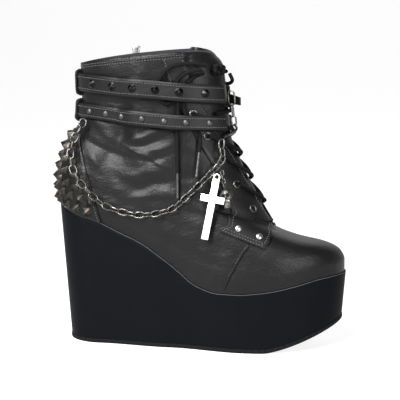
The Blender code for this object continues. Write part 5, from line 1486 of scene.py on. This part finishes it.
class BOOT_OT_chain(bpy.types.Operator):
    """Swag chain, the rings and clasp that join the straps, and both pendants"""
    bl_idname = "boot.chain"
    bl_label = "Chain and pendants"

    def execute(self, context):
        bm = bmesh.new()
        line = spline_points([outside(x, z, out) for x, z, out in CHAIN], 0.0015)
        links_along(bm, line, LINK)
        dressed(bm, "chain_links", "gunmetal", "root", ["chain"], 60)
        bm = bmesh.new()
        for place, tall, wide, roll in FRONT_RINGS:
            link_ring(bm, Vector(outside(*place)), (0.12, 0, -1), (0, -1, 0), roll, (tall, wide, RING_WIRE))
        clasp = spline_points([outside(*place) for place in CLASP], 0.0008)
        round_rod(bm, clasp, RING_WIRE * 0.72, 12)
        dressed(bm, "clasp_rings", "gunmetal", "root", ["clasp"], 60)
        self.cross()
        self.skull()
        return {"FINISHED"}

    def cross(self):
        top = Vector(outside(*CROSS_PLACE))
        across, down, face = leaning_frame(CROSS_LEAN)
        half, arm = CROSS_WIDTH / 2, CROSS_BAR / 2
        low, high = CROSS_ARM_DOWN - half, CROSS_ARM_DOWN + half
        outline = (
            (-half, 0.0), (half, 0.0), (half, low), (arm, low), (arm, high), (half, high),
            (half, CROSS_LENGTH), (-half, CROSS_LENGTH), (-half, high), (-arm, high), (-arm, low), (-half, low),
        )
        bm = bmesh.new()
        flat_plate(bm, outline, CROSS_THICK, top, across, down, face, 0.00018, 2)
        bail = [
            top + down * (CROSS_RING * math.cos(a) - CROSS_RING * 0.8) + across * CROSS_RING * math.sin(a)
            for a in np.linspace(0, 2 * math.pi, 30, endpoint=False)
        ]
        round_rod(bm, bail, LINK[2] / 2, 10, closed=True)
        dressed(bm, "cross_pendant", "bright", "cross", ["cross"], 35)

    def skull(self):
        top = Vector(outside(*SKULL_PLACE))
        across, down, face = leaning_frame(SKULL_LEAN)
        centre = top + down * SKULL_DOWN
        bm = bmesh.new()
        bmesh.ops.create_uvsphere(bm, u_segments=72, v_segments=54, radius=1.0)
        hollows = set()
        for v in bm.verts:
            x, y, z = v.co
            wide = SKULL_WIDTH / 2 * (1 - 0.12 * max(0.0, -z))
            dent = 0.0
            for px, pz, reach, deep in SKULL_HOLLOWS:
                dent += deep * math.exp(-(((x - px) / reach) ** 2 + ((z - pz) / reach) ** 2) ** 1.5) * (y > 0)
            brow = 0.10 * math.exp(-(((z - 0.20) / 0.10) ** 2)) * math.exp(-((x / 0.7) ** 2)) * (y > 0)
            cheek = 0.09 * math.exp(-(((abs(x) - 0.58) / 0.18) ** 2 + ((z + 0.42) / 0.14) ** 2)) * (y > 0)
            y = y * (1 - dent * 1.2 + brow + cheek)
            if dent > 0.15:
                hollows.update(v.link_faces)
            v.co = centre + across * x * wide * (1 + cheek)
            v.co += face * y * SKULL_WIDTH * 0.34 - down * z * SKULL_WIDTH / 2
        for face_k in hollows:
            face_k.material_index = 1
        jaw_half = SKULL_WIDTH * 0.30
        jaw = ((-jaw_half, 0.0), (jaw_half, 0.0), (jaw_half * 0.8, SKULL_JAW), (-jaw_half * 0.8, SKULL_JAW))
        chin = centre + down * SKULL_WIDTH * 0.34
        flat_plate(bm, jaw, SKULL_WIDTH * 0.42, chin, across, down, face, 0.0012, 4)
        for k in range(6):
            at = centre + down * SKULL_WIDTH * 0.54 + across * (k - 2.5) * TOOTH_PITCH + face * SKULL_WIDTH * 0.205
            made = Matrix.Translation(at) @ Matrix((across, down, face)).transposed().to_4x4()
            bmesh.ops.create_uvsphere(bm, u_segments=8, v_segments=6, radius=1.0,
                                      matrix=made @ Matrix.Diagonal((0.00050, 0.0011, 0.0005, 1)))
        size = (SMALL_LINK, SMALL_LINK * 0.68, SMALL_LINK * 0.17)
        line = np.array([top + down * (SKULL_DOWN - SKULL_WIDTH * 0.48) * t for t in np.linspace(0, 1, 12)])
        links_along(bm, line, size, 0.3)
        dressed(bm, "skull_pendant", ["gunmetal", "dark"], "skull", ["skull"], 50)


class BOOT_OT_zip(bpy.types.Operator):
    """Zip on the inner side with its teeth, slider and pull tab"""
    bl_idname = "boot.zip"
    bl_label = "Zip"

    def execute(self, context):
        size = context.scene.boot_sizes
        angle, up, side = along_line(ZIP_LINE, ZIP_WIDTH, 60, 1.0)
        overlay("zip_tape", angle, up, side, ZIP_THICK * 0.5, "lining", ["zip_teeth"], bevel=0.0001)
        line, normals = line_on(ZIP_LINE, 1.0, CURVE_GAP + ZIP_THICK * 0.55, size.tooth / 2)
        bm = bmesh.new()
        for k in range(1, len(line) - 1):
            along = Vector(line[k + 1] - line[k - 1]).normalized()
            matrix = facing(line[k], normals[k], along)
            matrix = matrix @ Matrix.Translation((0.0006 * (-1) ** k, 0, 0)) @ Matrix.Diagonal(ZIP_TOOTH)
            bmesh.ops.create_cube(bm, size=1.0, matrix=matrix)
        dressed(bm, "zip_row", "nickel", "root")
        x, z = ZIP_LINE[-1]
        angle, up = locate(x, z, 1.0)
        normal = Vector(upper_normal(angle, up, np.asarray(1.0)))
        top = Vector(off_upper(angle, up, np.asarray(1.0), CURVE_GAP)) + Vector((0, 0, GAP + SLIDER_TALL / 2))
        face = Vector((normal.x, normal.y, 0)).normalized()
        across = Vector((0, 0, 1)).cross(face)
        down = Vector((0, 0, -1))
        at = top + face * SLIDER_THICK / 2
        half = SLIDER_WIDE / 2
        tall = SLIDER_TALL / 2
        outline = ((-half, -tall), (half, -tall), (half * 0.7, tall), (-half * 0.7, tall))
        bm = bmesh.new()
        flat_plate(bm, outline, SLIDER_THICK, at, across, down, face, 0.0010, 3)
        dressed(bm, "zip_slider_body", "nickel", "root", ["zip_slider"], 40)
        pull = at + face * (SLIDER_THICK / 2 + GAP + PULL_THICK / 2)
        tab = PULL_WIDE / 2
        outline = (
            (-tab * 0.7, 0), (tab * 0.7, 0), (tab, PULL_LONG * 0.75), (tab * 0.6, PULL_LONG),
            (-tab * 0.6, PULL_LONG), (-tab, PULL_LONG * 0.75),
        )
        bm = bmesh.new()
        flat_plate(bm, outline, PULL_THICK, pull, across, down, face, 0.0004, 3)
        dressed(bm, "zip_pull_tab", "nickel", "zip_pull", ["zip_pull"], 40)
        return {"FINISHED"}


class BOOT_OT_stage(bpy.types.Operator):
    """Pale floor and backdrop, soft lights and the camera"""
    bl_idname = "boot.stage"
    bl_label = "Stage"

    def execute(self, context):
        scene = context.scene
        stage = scene.boot_stage
        bm = bmesh.new()
        sheet = Matrix.Translation((0, PAPER_END - PAPER_HALF, 0))
        bmesh.ops.create_grid(bm, x_segments=1, y_segments=1, size=PAPER_HALF, matrix=sheet)
        far = [e for e in bm.edges if all(v.co.y > PAPER_END - 0.1 for v in e.verts)]
        grown = bmesh.ops.extrude_edge_only(bm, edges=far)["geom"]
        raised = [v for v in grown if isinstance(v, bmesh.types.BMVert)]
        bmesh.ops.translate(bm, vec=(0, 0, PAPER_END), verts=raised)
        bend = [e for e in bm.edges if all(v.co.y > PAPER_END - 0.1 and v.co.z < 0.1 for v in e.verts)]
        bmesh.ops.bevel(bm, geom=bend, offset=1.6, segments=16, profile=0.5, affect="EDGES", material=-1)
        mesh = bpy.data.meshes.new("studio_floor")
        bm.to_mesh(mesh)
        bm.free()
        mesh.shade_smooth()
        floor = bpy.data.objects.new("studio_floor", mesh)
        scene.collection.objects.link(floor)
        paper = Finish("studio_paper", Roughness=0.6, Specular_IOR_Level=0.3)
        paper.shader.inputs["Base Color"].default_value = (0.30, 0.30, 0.30, 1)
        paper.shader.inputs["Emission Color"].default_value = (1, 1, 1, 1)
        paper.shader.inputs["Emission Strength"].default_value = stage.paper
        mesh.materials.append(paper.made)
        world = bpy.data.worlds.new("studio")
        world.use_nodes = True
        world.node_tree.nodes["Background"].inputs["Color"].default_value = (1, 1, 1, 1)
        world.node_tree.nodes["Background"].inputs["Strength"].default_value = stage.world
        scene.world = world
        for name, place, target, wide in LIGHTS:
            light = bpy.data.lights.new(name + "_light", "AREA")
            light.size = wide
            light.energy = getattr(stage, name)
            made = bpy.data.objects.new(name + "_light", light)
            made.location = place
            made.rotation_euler = (Vector(place) - Vector(target)).to_track_quat("Z", "Y").to_euler()
            scene.collection.objects.link(made)
        yaw, dip = (math.radians(turn) for turn in CAMERA_TURNS)
        camera = bpy.data.cameras.new("camera")
        camera.sensor_width = 36.0
        camera.lens = CAMERA_LENS
        camera.shift_x, camera.shift_y = CAMERA_SHIFT
        camera.clip_end = 30.0
        made = bpy.data.objects.new("camera", camera)
        made.location = CAMERA_PLACE
        back = Vector((math.sin(yaw) * math.cos(dip), -math.cos(yaw) * math.cos(dip), math.sin(dip)))
        made.rotation_euler = back.to_track_quat("Z", "Y").to_euler()
        scene.collection.objects.link(made)
        scene.camera = made
        scene.view_settings.view_transform = "Standard"
        return {"FINISHED"}


class BOOT_PT_panel(bpy.types.Panel):
    """The boot's pieces"""
    bl_idname = "BOOT_PT_panel"
    bl_label = "Wedge boot"
    bl_space_type = "VIEW_3D"
    bl_region_type = "UI"
    bl_category = "Wedge boot"

    def draw(self, context):
        for group in (context.scene.boot_sizes, context.scene.boot_colours, context.scene.boot_stage):
            for name in group.__annotations__:
                self.layout.prop(group, name)
        for operator in OPERATORS:
            self.layout.operator(operator.bl_idname)


OPERATORS = (
    BOOT_OT_stage, BOOT_OT_upper, BOOT_OT_sole, BOOT_OT_tongue, BOOT_OT_overlays, BOOT_OT_straps, BOOT_OT_eyelets,
    BOOT_OT_lace, BOOT_OT_chain, BOOT_OT_zip,
)
GROUPS = {"boot_sizes": BootSizes, "boot_colours": BootColours, "boot_stage": StageSettings}


def register():
    for name, group in GROUPS.items():
        bpy.utils.register_class(group)
        setattr(bpy.types.Scene, name, PointerProperty(type=group))
    for made in (*OPERATORS, BOOT_PT_panel):
        bpy.utils.register_class(made)


def unregister():
    for made in (*OPERATORS, BOOT_PT_panel):
        bpy.utils.unregister_class(made)
    for name, group in GROUPS.items():
        delattr(bpy.types.Scene, name)
        bpy.utils.unregister_class(group)


def main():
    register()
    for name in ("stage", "upper", "sole", "tongue", "overlays", "straps", "eyelets", "lace", "chain", "zip"):
        getattr(bpy.ops.boot, name)()
    bpy.context.view_layer.update()


if __name__ == "__main__":
    main()
